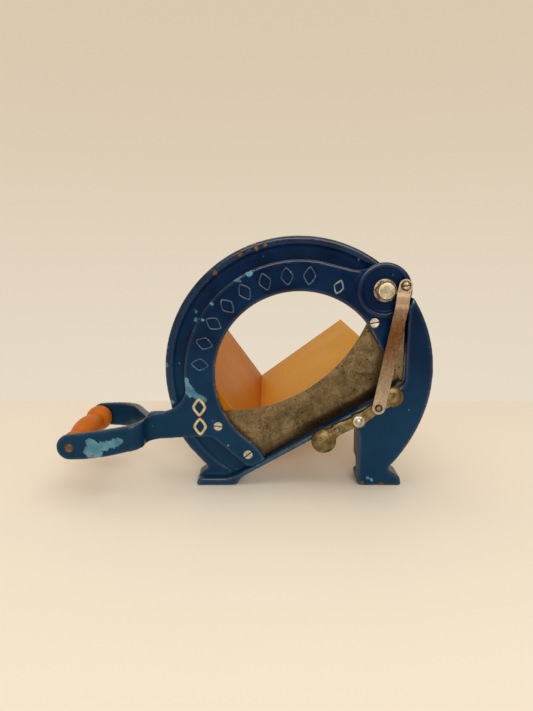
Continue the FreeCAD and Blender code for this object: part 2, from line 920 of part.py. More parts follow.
def build_pivot():
    across, height = "Sizes.pivot_across", "Sizes.pivot_height"
    bolt = "Sizes.bolt_radius"
    arm_back = "(Sizes.arm_front + Sizes.arm_thickness)"
    spacer_front = f"({arm_back} + Sizes.face_gap)"
    washer_front = f"({ARM_SEAT} - Sizes.face_gap - Sizes.washer_thickness)"
    head_front = f"({washer_front} - Sizes.bolt_head)"
    nut_front = "(Sizes.frame_back + Sizes.washer_thickness)"
    node("pivot_bush", ring_of(
        "pivot_bush", across, height, ARM_SEAT, "Sizes.bush_radius",
        f"({bolt} + Sizes.running_gap)", f"{arm_back} - {ARM_SEAT}",
    ))
    node("pivot_spacer", ring_of(
        "pivot_spacer", across, height, spacer_front, "Sizes.spacer_radius", bolt,
        f"Sizes.frame_boss_front - {spacer_front}",
    ))
    node("pivot_washer", ring_of(
        "pivot_washer", across, height, washer_front, "Sizes.washer_radius", bolt,
        "Sizes.washer_thickness",
    ))
    node("pivot_nut_washer", ring_of(
        "pivot_nut_washer", across, height, "Sizes.frame_back", "Sizes.washer_radius", bolt,
        "Sizes.washer_thickness",
    ))
    node("pivot_nut", nut_of(
        "pivot_nut", across, height, nut_front, "Sizes.bolt_flats", bolt, "Sizes.nut_height", 17
    ))
    head = hexagon(
        "bolt_hexagon", across, height, head_front, "Sizes.bolt_flats", "Sizes.bolt_head", 5
    )
    crown = cone(
        "bolt_crown", across, height, head_front, "Sizes.bolt_flats * 0.45",
        "Sizes.bolt_flats * 0.45 + Sizes.bolt_head * 2.2", "Sizes.bolt_head",
    )
    shank = rod(
        "bolt_shank", across, height, washer_front, bolt,
        f"{nut_front} + Sizes.nut_height + 2 - {washer_front}",
    )
    node("pivot_bolt", fuse("pivot_bolt", [common("bolt_head", head, crown), shank]))


# ---- link and rocker ----

def capsule_steps(start, start_radius, end, end_radius):
    """The outline of two circles joined by their outer tangents."""
    gap = math.dist(start, end)
    heading = angle_about(start, end)
    lean = math.degrees(math.acos((start_radius - end_radius) / gap))
    return [
        polar(end, end_radius, heading + lean),
        (polar(end, end_radius, heading), polar(end, end_radius, heading - lean)),
        polar(start, start_radius, heading - lean),
        (polar(start, start_radius, heading + 180), polar(start, start_radius, heading + lean)),
    ]


def build_link():
    """A spring steel strap, joggled forward below its top eye."""
    stud = (size("stud_across"), size("stud_height"))
    pin = (size("link_pin_across"), size("link_pin_height"))
    half = size("link_width") / 2
    length = math.dist(stud, pin)
    heading = math.degrees(math.atan2(pin[0] - stud[0], stud[1] - pin[1]))
    thick = size("link_thickness")
    step = size("link_joggle")
    body = doc.addObject("PartDesign::Body", "link_bend")
    section = new_sketch(body, "YZ_Plane", "link_bend_section")
    bend_top = -9.0
    bend_end = -21.0
    foot = -length - half - 1
    add_outline(section, [
        (0.0, half + 1),
        (0.0, bend_top),
        (-step, bend_end),
        (-step, foot),
        (thick - step, foot),
        (thick - step, bend_end),
        (thick, bend_top),
        (thick, half + 1),
    ])
    pad = body.newObject("PartDesign::Pad", "link_bend_pad")
    pad.Profile = section
    pad.Midplane = True
    pad.Length = 2 * half + 2
    turn = Rotation(Vector(0, 1, 0), -heading)
    body.Placement = Placement(Vector(stud[0], size("link_top_front"), stud[1]), turn)
    outline = prism("link_outline", capsule_steps(stud, half, pin, half), "-20", "20")
    strap = common("link_blank", body, outline)
    top_hole = rod("link_top_hole", "Sizes.stud_across", "Sizes.stud_height", "-50",
                   "Sizes.link_screw_radius + Sizes.running_gap", "100")
    low_hole = rod("link_low_hole", "Sizes.link_pin_across", "Sizes.link_pin_height", "-50",
                   "Sizes.link_hole_radius", "100")
    node("link_strap", cut("link_strap", strap, [top_hole, low_hole]))

    spacer_front = "(Sizes.link_top_front + Sizes.link_thickness + Sizes.face_gap)"
    node("link_spacer", ring_of(
        "link_spacer", "Sizes.stud_across", "Sizes.stud_height", spacer_front,
        "Sizes.link_spacer_radius", "Sizes.link_screw_radius", f"{ARM_SEAT} - {spacer_front}",
    ))
    head_back = "(Sizes.link_top_front - Sizes.face_gap)"
    screw = turned(
        "link_screw_turning",
        [
            ("0", f"{head_back} - 3.2"),
            ("Sizes.link_screw_head * 0.62", f"{head_back} - 3"),
            ("Sizes.link_screw_head", f"{head_back} - 1.6"),
            ("Sizes.link_screw_head", head_back),
            ("Sizes.link_screw_radius", head_back),
            ("Sizes.link_screw_radius", "Sizes.arm_front + Sizes.arm_thickness"),
            ("0", "Sizes.arm_front + Sizes.arm_thickness"),
        ],
        "Sizes.stud_across", "Sizes.stud_height",
    )
    driver = slot("link_screw_slot", "Sizes.stud_across", "Sizes.stud_height", f"{head_back} - 3.2",
                  "Sizes.link_screw_head", "1.2", 8)
    node("link_screw", cut("link_screw", screw, [driver]))


def build_rocker():
    """The cast lever that sets the slice thickness, with a disc at each end."""
    pivot_point = (size("rocker_across"), size("rocker_height"))
    pin = (size("link_pin_across"), size("link_pin_height"))
    spare = (size("spare_pin_across"), size("spare_pin_height"))
    big = (size("big_disc_across"), size("big_disc_height"))
    small = (size("small_disc_across"), size("small_disc_height"))
    half = size("waist") / 2
    boss = size("pin_boss_radius")
    spans = [
        ("span_big", big, half + 4.0, spare, half + 0.6),
        ("span_spare", spare, boss - 0.5, pivot_point, half + 0.4),
        ("span_pin", pivot_point, half + 1.4, pin, boss - 1.2),
        ("span_small", pin, boss - 0.4, small, half + 2.0),
    ]
    pieces = []
    for name, first, first_radius, second, second_radius in spans:
        outline = capsule_steps(first, first_radius, second, second_radius)
        pieces.append(prism(name, outline, "Sizes.rocker_front", "Sizes.rocker_thickness"))
    for name, dome in (("big_disc", 2.2), ("small_disc", 1.2)):
        place = (f"Sizes.{name}_across", f"Sizes.{name}_height", f"Sizes.{name}_radius")
        pieces.append(domed_disc(name, *place, dome))
    for name in ("link_pin", "spare_pin"):
        pieces.append(rod(
            f"{name}_boss", f"Sizes.{name}_across", f"Sizes.{name}_height", "Sizes.rocker_front - 1",
            "Sizes.pin_boss_radius - 1", "Sizes.rocker_thickness",
        ))
    pieces.append(rod(
        "rocker_hub", "Sizes.rocker_across", "Sizes.rocker_height", "Sizes.rocker_front",
        "Sizes.rocker_collar + 2", "Sizes.rocker_thickness + 1.4",
    ))
    holes = [rod(
        "rocker_bore", "Sizes.rocker_across", "Sizes.rocker_height", "-50",
        "Sizes.rocker_pin_radius + Sizes.running_gap", "100",
    )]
    for name in ("link_pin", "spare_pin"):
        holes.append(rod(
            f"{name}_hole", f"Sizes.{name}_across", f"Sizes.{name}_height", "-50",
            "Sizes.link_pin_radius", "100",
        ))
    node("thickness_rocker", cut("thickness_rocker", fuse("rocker_casting", pieces), holes))

    back = "(Sizes.rocker_front + Sizes.rocker_thickness)"
    strap_front = "(Sizes.link_top_front - Sizes.link_joggle)"
    fronts = {"link_pin": f"({strap_front} - 0.8)", "spare_pin": "(Sizes.rocker_front - 2.2)"}
    for name, front in fronts.items():
        node(name, turned(
            f"{name}_turning",
            [
                ("0", front),
                ("Sizes.link_pin_radius - 0.5", front),
                ("Sizes.link_pin_radius", f"{front} + 0.5"),
                ("Sizes.link_pin_radius", back),
                ("0", back),
            ],
            f"Sizes.{name}_across", f"Sizes.{name}_height",
        ))
        # the turned body carries its own place, so the shared shift is added to it
        shifted = doc.getObject(node_names[-1])
        bind(shifted, Placement__Base__x=f"{SHIFT_X} + Sizes.{name}_across")


def domed_disc(name, across, height, radius, dome):
    """A thumb disc with a low domed face."""
    body = doc.addObject("PartDesign::Body", name)
    sketch = new_sketch(body, "XY_Plane", name + "_profile")
    rim = value_of(radius)
    front = value_of("Sizes.rocker_front")
    back = value_of("Sizes.rocker_front + Sizes.rocker_thickness")
    add_outline(sketch, [
        (0.0, front - dome),
        ((rim * 0.55, front - dome * 0.75), (rim - 0.8, front + 0.6)),
        (rim, front + 1.6),
        (rim, back - 0.6),
        (rim - 0.6, back),
        (0.0, back),
    ])
    spin = body.newObject("PartDesign::Revolution", name + "_turning")
    spin.Profile = sketch
    spin.ReferenceAxis = (sketch, ["V_Axis"])
    spin.Angle = 360
    bind(body, Placement__Base__x=across, Placement__Base__z=height)
    return body


def build_rocker_pin():
    """The shouldered pin that the rocker turns on, with its washers and nut behind the frame."""
    across, height = "Sizes.rocker_across", "Sizes.rocker_height"
    collar_back = "(Sizes.rocker_front - Sizes.face_gap)"
    plate_back = "(Sizes.ring_front + Sizes.plate_thickness)"
    end = f"({plate_back} + 1 + Sizes.rocker_nut_height + 1.5)"
    pin = turned(
        "rocker_pin_turning",
        [
            ("0", f"{collar_back} - 3.4"),
            ("2", f"{collar_back} - 3.2"),
            ("3.4", f"{collar_back} - 2.4"),
            ("3.8", f"{collar_back} - 1.4"),
            ("Sizes.rocker_collar", f"{collar_back} - 1.1"),
            ("Sizes.rocker_collar", collar_back),
            ("Sizes.rocker_pin_radius", collar_back),
            ("Sizes.rocker_pin_radius", end),
            ("0", end),
        ],
        across, height,
    )
    node("rocker_pin", pin)
    bind(pin, Placement__Base__x=f"{SHIFT_X} + {across}")
    hub_back = "(Sizes.rocker_front + Sizes.rocker_thickness + 1.4)"
    node("rocker_washer", ring_of(
        "rocker_washer", across, height, f"{hub_back} + Sizes.face_gap",
        "Sizes.rocker_collar + 1.5", "Sizes.rocker_pin_radius",
        f"-({hub_back}) - Sizes.face_gap",
    ))
    node("rocker_nut_washer", ring_of(
        "rocker_nut_washer", across, height, plate_back, "7", "Sizes.rocker_pin_radius", "1"
    ))
    node("rocker_nut", nut_of(
        "rocker_nut", across, height, f"{plate_back} + 1", "Sizes.rocker_nut_flats",
        "Sizes.rocker_pin_radius", "Sizes.rocker_nut_height", 10,
    ))


# ---- handle ----

def build_handle():
    across, height = "-Sizes.pin_reach", "Sizes.pin_height"
    near = "(Sizes.fork_front + Sizes.fork_wall)"
    far = "(Sizes.fork_back - Sizes.fork_wall)"
    pin = turned(
        "grip_pin_turning",
        [
            ("0", "Sizes.fork_front - Sizes.rivet_rise"),
            ("2.6", "Sizes.fork_front - Sizes.rivet_rise + 0.2"),
            ("4.2", "Sizes.fork_front - 0.4"),
            ("4.2", "Sizes.fork_front"),
            ("Sizes.pin_radius", "Sizes.fork_front"),
            ("Sizes.pin_radius", "Sizes.fork_back"),
            ("4.2", "Sizes.fork_back"),
            ("4.2", "Sizes.fork_back + 0.4"),
            ("2.6", "Sizes.fork_back + Sizes.rivet_rise - 0.2"),
            ("0", "Sizes.fork_back + Sizes.rivet_rise"),
        ],
        across, height,
    )
    node("grip_pin", pin)
    bind(pin, Placement__Base__x=f"{SHIFT_X} + {across}")
    washers = []
    for index, front in enumerate((near, f"({far} - Sizes.grip_washer_thickness)")):
        washers.append(ring_of(
            f"grip_washer_{index}", across, height, front, "Sizes.grip_washer_radius",
            "Sizes.pin_radius", "Sizes.grip_washer_thickness",
        ))
    group = doc.addObject("Part::Compound", "grip_washers")
    group.Links = washers
    node("grip_washers", group)

    start = f"({near} + Sizes.grip_washer_thickness + 2 * Sizes.face_gap)"
    end = f"({far} - Sizes.grip_washer_thickness - 2 * Sizes.face_gap)"
    body = doc.addObject("PartDesign::Body", "grip_turning")
    sketch = new_sketch(body, "XY_Plane", "grip_profile")
    first, last = value_of(start), value_of(end)
    full = size("grip_radius")
    bore = size("pin_radius") + size("running_gap")
    span = last - first
    add_outline(sketch, [
        (bore, first),
        (full * 0.62, first),
        ((full * 0.82, first + span * 0.07), (full * 0.64, first + span * 0.165)),
        ((full * 0.97, first + span * 0.44), (full * 0.66, first + span * 0.74)),
        ((full, first + span * 0.87), (full * 0.66, last)),
        (bore, last),
    ])
    spin = body.newObject("PartDesign::Revolution", "grip_spin")
    spin.Profile = sketch
    spin.ReferenceAxis = (sketch, ["V_Axis"])
    spin.Angle = 360
    bind(body, Placement__Base__z=height)
    node("grip", body)
    bind(body, Placement__Base__x=f"{SHIFT_X} + {across}")


# ---- trough ----

def screw_places():
    """Where the wood screws stand: board, distance along it, depth from the front."""
    places = []
    shelf = size("frame_back") + size("lug_reach")
    for board, middle in (("right", 90.0), ("left", 42.0)):
        for setback in (8.0, 22.0):
            places.append((f"{board}_{int(setback)}", board, middle, shelf - setback))
    return places


def leg_screw_places():
    places = []
    depth = leg_back() + size("leg_flange") / 2
    for board, along in (("right", 22.0), ("right", 52.0), ("left", 27.0), ("left", 46.0)):
        places.append((f"{board}_leg_{int(along)}", board, along, depth))
    return places


def leg_back():
    """The depth at which the rear leg's plate stands."""
    return size("trough_front") + size("trough_length") - size("leg_setback")


def across_board(name, board, along, out, depth, radius, length):
    """A cylinder square to a board, starting outside it and pointing into it."""
    lean = size("trough_angle")
    cylinder = doc.addObject("Part::Cylinder", name)
    cylinder.Radius = radius
    cylinder.Height = length
    start = board_point(along, out, board)
    turn = Rotation(Vector(0, 1, 0), -lean if board == "right" else 90 - lean)
    cylinder.Placement = Placement(Vector(start[0], depth, start[1]), turn)
    return cylinder


def screw_shanks(kind):
    """Cutters for the wood screws' shanks, through the lugs or through the leg's flanges."""
    places = screw_places() if kind == "lug" else leg_screw_places()
    out = size("board_thickness") + size("lug_thickness") + 1
    return [
        across_board(f"{kind}_way_{name}", board, along, out, depth, size("wood_screw_radius"), out)
        for name, board, along, depth in places
    ]


def wood_screws(label, places, seat):
    """Slotted round-head wood screws, heads outside, points in the boards."""
    screws = []
    grip = size("board_thickness") + seat
    for name, board, along, depth in places:
        head_radius = size("wood_screw_head")
        head = across_board(f"{label}_head_{name}", board, along, grip + 2.4, depth, head_radius, 2.4)
        shank = across_board(
            f"{label}_shank_{name}", board, along, grip, depth, size("wood_screw_radius"), grip - 2
        )
        screws.append(fuse(f"{label}_{name}", [head, shank]))
    group = doc.addObject("Part::Compound", label)
    group.Links = screws
    return node(label, group)


def build_trough():
    thick = size("board_thickness")
    right, left = (
        prism(f"{board}_board_blank", board_outline(board), "Sizes.trough_front", "Sizes.trough_length")
        for board in ("right", "left")
    )
    nails = board_nails("way")
    pilots = {"right": [], "left": []}
    for kind, places in (("lug", screw_places()), ("leg", leg_screw_places())):
        seat = size("lug_thickness") if kind == "lug" else size("leg_thickness")
        for name, board, along, depth in places:
            pilots[board].append(across_board(
                f"{kind}_pilot_{name}", board, along, thick + seat, depth,
                size("wood_screw_radius"), thick + seat - 2,
            ))
    node("trough_right_board", cut("trough_right_board", right, pilots["right"] + nails))
    node("trough_left_board", cut("trough_left_board", left, pilots["left"] + board_nails("hole")))
    group = doc.addObject("Part::Compound", "board_nails")
    group.Links = board_nails("wire")
    node("board_nails", group)
    wood_screws("trough_screws", screw_places(), size("lug_thickness"))
    wood_screws("leg_screws", leg_screw_places(), size("leg_thickness"))


def board_nails(label):
    """Wire nails through the right board into the edge of the left one."""
    count = 5
    margin = 25.0
    thick = size("board_thickness")
    pitch = (size("trough_length") - 2 * margin) / (count - 1)
    start = board_point(-thick / 2, thick, "right")
    lean = size("trough_angle")
    nails = []
    for index in range(count):
        nail = doc.addObject("Part::Cylinder", f"nail_{label}_{index}")
        nail.Radius = size("nail_radius")
        nail.Height = 2.5 * thick
        depth = size("trough_front") + margin + index * pitch
        turn = Rotation(Vector(0, 1, 0), -lean)
        nail.Placement = Placement(Vector(start[0], depth, start[1]), turn)
        nails.append(nail)
    return nails


def build_rear_leg():
    """A pressed steel stand: a plate shaped to the V, two flanges along the boards."""
    out = size("board_thickness")
    thick = size("leg_thickness")
    spread = size("leg_spread")
    middle = size("vertex_across")
    plate_steps = [
        board_point(58.0, out, "left"),
        board_point(58.0, out + 14.0, "left"),
        (middle - spread, 7.0),
        (middle - spread - 4.0, 0.0),
        (middle - spread + 16.0, 0.0),
        ((middle, 15.0), (middle + spread - 16.0, 0.0)),
        (middle + spread + 4.0, 0.0),
        (middle + spread, 7.0),
        board_point(70.0, out + 14.0, "right"),
        board_point(70.0, out, "right"),
        board_point(-out, out, "right"),
    ]
    plate = prism("leg_plate", plate_steps, str(leg_back()), "Sizes.leg_thickness")
    flanges = []
    for board, start, end in (("right", -out, 70.0), ("left", 2.0, 58.0)):
        flanges.append(prism(
            f"{board}_leg_flange",
            [
                board_point(start, out, board),
                board_point(end, out, board),
                board_point(end, out + thick, board),
                board_point(start, out + thick, board),
            ],
            str(leg_back()), "Sizes.leg_flange",
        ))
    soles = [
        bound_prism(
            f"{side}_leg_sole",
            [
                (str(middle + inner), "0"),
                (str(middle + outer), "0"),
                (str(middle + outer), "Sizes.leg_thickness"),
                (str(middle + inner), "Sizes.leg_thickness"),
            ],
            str(leg_back()), "Sizes.leg_flange * 0.6",
        )
        for side, inner, outer in (
            ("left", -spread - 3, -spread + 15),
            ("right", spread - 15, spread + 3),
        )
    ]
    stand = fuse("leg_solid", [plate] + flanges + soles)
    return node("rear_leg", cut("rear_leg", stand, screw_shanks("leg")))


build_frame()
build_arm()
build_blade()
build_blade_screws()
build_pivot()
build_link()
build_rocker()
build_rocker_pin()
build_handle()
build_trough()
build_rear_leg()
doc.recompute()

faults = [
    f"{thing.Label}: {state}"
    for thing in doc.Objects
    for state in thing.State
    if state in ("Invalid", "Error")
]
for name in node_names:
    thing = doc.getObject(name)
    if thing.Shape.isNull() or not thing.Shape.isValid():
        faults.append(f"{thing.Label}: no valid shape")
if faults:
    raise RuntimeError("; ".join(faults))

os.makedirs("parts", exist_ok=True)
whole = FreeCAD.BoundBox()
for name in node_names:
    thing = doc.getObject(name)
    thing.Shape.exportStep(f"parts/{thing.Label}.step")
    whole.add(thing.Shape.BoundBox)
    print(f"{thing.Label}: {len(thing.Shape.Solids)} solids, {thing.Shape.Volume / 1000:.2f} cm3")
print("whole:", whole)
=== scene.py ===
import math
import bmesh
import bpy
import numpy as np
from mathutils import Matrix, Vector


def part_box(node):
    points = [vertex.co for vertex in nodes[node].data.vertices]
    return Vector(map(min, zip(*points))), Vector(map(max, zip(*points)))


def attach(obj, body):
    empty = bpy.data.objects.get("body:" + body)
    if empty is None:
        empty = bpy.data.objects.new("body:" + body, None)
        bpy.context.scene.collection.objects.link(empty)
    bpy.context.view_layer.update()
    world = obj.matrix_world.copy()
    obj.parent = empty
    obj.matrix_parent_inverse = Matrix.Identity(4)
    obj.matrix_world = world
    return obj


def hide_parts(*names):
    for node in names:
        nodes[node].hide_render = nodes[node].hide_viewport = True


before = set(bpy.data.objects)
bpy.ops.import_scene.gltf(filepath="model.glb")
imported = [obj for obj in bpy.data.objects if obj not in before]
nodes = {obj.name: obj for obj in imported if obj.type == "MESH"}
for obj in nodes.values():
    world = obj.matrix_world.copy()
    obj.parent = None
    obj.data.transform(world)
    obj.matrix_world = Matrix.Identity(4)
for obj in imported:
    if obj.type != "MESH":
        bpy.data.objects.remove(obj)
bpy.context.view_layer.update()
mm = 0.001

# The maker measures from the ring's centre line and the front of the rail. The pivot bolt stands
# to the right of that line, and the trough's boards start behind that front.
benchZero = {"boltAcross": 86.0, "boardsBehind": 10.5}
boltLow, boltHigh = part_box("pivot_bolt")
benchX = (boltLow[0] + boltHigh[0]) / 2 - benchZero["boltAcross"] * mm
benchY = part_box("trough_right_board")[0][1] - benchZero["boardsBehind"] * mm
print("stage: frame loaded, bench zero at", round(benchX, 5), round(benchY, 5))


def bench(x, y, z):  # millimetres from the bench zero to metres in the frame
    return (benchX + x * mm, benchY + y * mm, z * mm)


def linear(code):  # an sRGB hex colour as scene-linear red, green, blue, alpha
    parts = [int(code[i:i + 2], 16) / 255 for i in (1, 3, 5)]
    flat = [c / 12.92 if c <= 0.04045 else ((c + 0.055) / 1.055) ** 2.4 for c in parts]
    return (*flat, 1.0)


mixFactor, mixUnder, mixOver = 0, 6, 7  # a colour Mix's sockets: under shows at factor 0, over at 1


def feed(tree, node, links):  # wires sources into a node; a source node gives its main output
    for key, source in links.items():
        if isinstance(source, bpy.types.Node):
            isColourMix = source.bl_idname == "ShaderNodeMix" and source.data_type == "RGBA"
            source = source.outputs[2 if isColourMix else 0]
        tree.links.new(source, node.inputs[key])


def add(tree, kind, settings=None, links=None):  # one node with its settings and its incoming links
    node = tree.nodes.new("ShaderNode" + kind)
    for key, value in (settings or {}).items():
        if key == "stops":
            while len(node.color_ramp.elements) < len(value):
                node.color_ramp.elements.new(0.5)
            for element, (position, code) in zip(node.color_ramp.elements, value):
                element.position = position
                element.color = linear(code)
        elif isinstance(key, int) or key in node.inputs:
            node.inputs[key].default_value = linear(value) if isinstance(value, str) else value
        else:
            setattr(node, key, value)
    feed(tree, node, links or {})
    return node


def newMaterial(name, settings):  # a material with one shader; settings are its even values
    material = bpy.data.materials.new(name)
    material.use_nodes = True
    tree = material.node_tree
    tree.nodes.clear()
    shader = add(tree, "BsdfPrincipled", settings)
    add(tree, "OutputMaterial", {}, {"Surface": shader})
    place = add(tree, "TexCoord").outputs["Object"]
    return material, tree, shader, place


def perMm(size):  # a pattern's scale from the size of its grain in millimetres
    return 1000.0 / size


def smooth(low, high):  # Map Range settings: 0 at low, 1 at high, held beyond them, smooth between
    return {"interpolation_type": "SMOOTHSTEP", "From Min": low, "From Max": high}


# The greyer blue used low down is painted bounce light from the table.
enamel = {
    # the pale edge tone is partly wear and partly painted highlight
    "deep": "#021333", "light": "#062547", "bounceLit": "#1b4763", "rubAndHighlight": "#3f667f",
    "undercoat": "#5c8ba0", "undercoatDark": "#416c82",
    "rust": "#7b5029", "rustDark": "#2c2119", "bare": "#80694a",
    "bounceFrom": 0.2, "bounceTo": 0.05, "bounceShare": 0.42,  # heights in metres where the painted bounce light begins and is full, and how far it lightens the film
    "faceShine": 0.06, "edgeShine": 0.5,
    "filmRoughness": (0.16, 0.3), "bareRoughness": 0.62,
}


def stoveEnamel(name, wearAndHighlightStrength):
    # Stove enamel baked over cast iron. A glossy film, faintly wavy, that is rubbed pale and shiny
    # on its edges, chips down to a turquoise undercoat and rusts where it is gone. The pale edge line is
    # partly wear and partly painted highlight, and low down the film carries painted bounce light.
    material, tree, shader, place = newMaterial(name, {"IOR": 1.5})
    edge = add(tree, "Attribute", {"attribute_name": "edge"}).outputs["Fac"]
    chip = add(tree, "Attribute", {"attribute_name": "chip"}).outputs["Fac"]
    rust = add(tree, "Attribute", {"attribute_name": "rust"}).outputs["Fac"]
    grain = add(tree, "TexNoise", {"Scale": perMm(4.5), "Detail": 7.0, "Roughness": 0.68}, {"Vector": place})
    cloud = add(tree, "TexNoise", {"Scale": perMm(38), "Detail": 4.0, "Roughness": 0.55}, {"Vector": place})
    streak = add(tree, "TexNoise", {"Scale": perMm(14), "Detail": 5.0, "Distortion": 0.6}, {"Vector": place})
    cloudy = add(tree, "MapRange", smooth(0.3, 0.7), {"Value": cloud})
    film = add(tree, "Mix", {"data_type": "RGBA", mixUnder: enamel["deep"], mixOver: enamel["light"]},
               {mixFactor: cloudy})
    # painted light: the film is lighter and greyer low down, standing in for light bounced up from the table
    height = add(tree, "SeparateXYZ", {}, {0: place}).outputs[2]
    low = add(tree, "MapRange", smooth(enamel["bounceFrom"], enamel["bounceTo"]), {"Value": height})
    bounceShare = add(tree, "Math", {"operation": "MULTIPLY", 1: enamel["bounceShare"]}, {0: low})
    bounceLitFilm = add(tree, "Mix", {"data_type": "RGBA", mixOver: enamel["bounceLit"]},
               {mixFactor: bounceShare, mixUnder: film})
    shine = {"From Min": 0.12, "From Max": 0.7, "To Min": enamel["faceShine"], "To Max": enamel["edgeShine"]}
    polish = add(tree, "MapRange", shine, {"Value": edge})
    # the rub: a pale line on the edges, partly where hands and cloths have polished them and partly a painted
    # highlight
    rubAndHighlightEdge = add(tree, "Math", {"operation": "MULTIPLY_ADD", 1: 0.42 * wearAndHighlightStrength, 2: 0.0}, {0: edge})
    rubAndHighlightNoise = add(tree, "Math", {"operation": "MULTIPLY_ADD", 1: 0.55, 2: -0.28}, {0: streak})
    rubAndHighlightSum = add(tree, "Math", {"operation": "ADD"}, {0: rubAndHighlightEdge, 1: rubAndHighlightNoise})
    rubAndHighlightMask = add(tree, "MapRange", smooth(0.2, 0.75), {"Value": rubAndHighlightSum})
    rubbedAndHighlighted = add(tree, "Mix", {"data_type": "RGBA", mixOver: enamel["rubAndHighlight"]},
                 {mixFactor: rubAndHighlightMask, mixUnder: bounceLitFilm})
    # the undercoat: chips where the chip map is strong and the fine grain agrees
    chipNoise = add(tree, "Math", {"operation": "MULTIPLY_ADD", 1: 1.5, 2: -0.75}, {0: grain})
    chipEdge = add(tree, "Math", {"operation": "MULTIPLY_ADD", 1: 0.33 * wearAndHighlightStrength, 2: 0.0}, {0: edge})
    chipSum = add(tree, "Math", {"operation": "ADD"}, {0: chip, 1: chipNoise})
    chipAll = add(tree, "Math", {"operation": "ADD"}, {0: chipSum, 1: chipEdge})
    chipMask = add(tree, "MapRange", smooth(0.47, 0.53), {"Value": chipAll})
    underTone = add(tree, "MapRange", smooth(0.35, 0.6), {"Value": streak})
    undercoats = {"data_type": "RGBA", mixUnder: enamel["undercoatDark"], mixOver: enamel["undercoat"]}
    under = add(tree, "Mix", undercoats, {mixFactor: underTone})
    chipped = add(tree, "Mix", {"data_type": "RGBA"}, {mixFactor: chipMask, mixUnder: rubbedAndHighlighted, mixOver: under})
    # pinholes: a dot in one cell out of five, up to about two millimetres across
    pin = add(tree, "TexVoronoi", {"Scale": perMm(9.0), "Randomness": 1.0}, {"Vector": place})
    pinChance = add(tree, "SeparateColor", {}, {0: pin.outputs["Color"]})
    pinSize = add(tree, "MapRange", {"From Min": 0.8, "From Max": 1.0, "To Min": 0.0, "To Max": 0.12},
                  {"Value": pinChance})
    pinMask = add(tree, "Math", {"operation": "LESS_THAN"}, {0: pin, 1: pinSize})
    pinned = add(tree, "Mix", {"data_type": "RGBA", mixOver: enamel["undercoat"]},
                 {mixFactor: pinMask, mixUnder: chipped})
    # rust: warm brown that eats in from the places on the rust map
    rustNoise = add(tree, "Math", {"operation": "MULTIPLY_ADD", 1: 1.3, 2: -0.65}, {0: grain})
    rustSum = add(tree, "Math", {"operation": "ADD"}, {0: rust, 1: rustNoise})
    rustMask = add(tree, "MapRange", smooth(0.45, 0.6), {"Value": rustSum})
    rustStops = ((0.3, enamel["rustDark"]), (0.52, enamel["rust"]), (0.75, enamel["bare"]))
    rustTint = add(tree, "ValToRGB", {"stops": rustStops}, {0: streak})
    coloured = add(tree, "Mix", {"data_type": "RGBA"},
                   {mixFactor: rustMask, mixUnder: pinned, mixOver: rustTint})
    filmLow, filmHigh = enamel["filmRoughness"]
    bareMask = add(tree, "Math", {"operation": "MAXIMUM"}, {0: chipMask, 1: rustMask})
    filmRough = add(tree, "MapRange", {"To Min": filmLow, "To Max": filmHigh}, {"Value": cloud})
    rough = add(tree, "Mix", {"data_type": "FLOAT", "B": enamel["bareRoughness"]},
                {mixFactor: bareMask, "A": filmRough})
    # relief: the film's own waves, and the step down into each chip
    peel = add(tree, "TexNoise", {"Scale": perMm(3.2), "Detail": 2.0}, {"Vector": place})
    waves = add(tree, "Bump", {"Strength": 0.35, "Distance": 0.12 * mm}, {"Height": peel})
    wide = add(tree, "Bump", {"Strength": 0.4, "Distance": 0.6 * mm}, {"Height": cloud, "Normal": waves})
    step = add(tree, "Bump", {"Strength": 0.8, "Distance": 0.22 * mm, "invert": True},
               {"Height": bareMask, "Normal": wide})
    feed(tree, shader,
         {"Base Color": coloured, "Specular IOR Level": polish, "Roughness": rough, "Normal": step})
    return material


blade = {
    # the last tint is the painted shade on the ground bevel
    "light": "#857457", "middle": "#625238", "dark": "#3b2f20", "pit": "#1b140d", "bevelShadeTint": "#2d251b",
    "edgeSlope": 29.5, "edgeHeight": 49.2, "bevelShadeReach": 9.0,  # the ground edge: degrees, then mm; then how far the painted shade above it reaches, mm
    "pits": ((4.2, 0.26, 0.3), (1.9, 0.3, 0.45)),  # cell in mm, reach as a share of it, share left clean
}


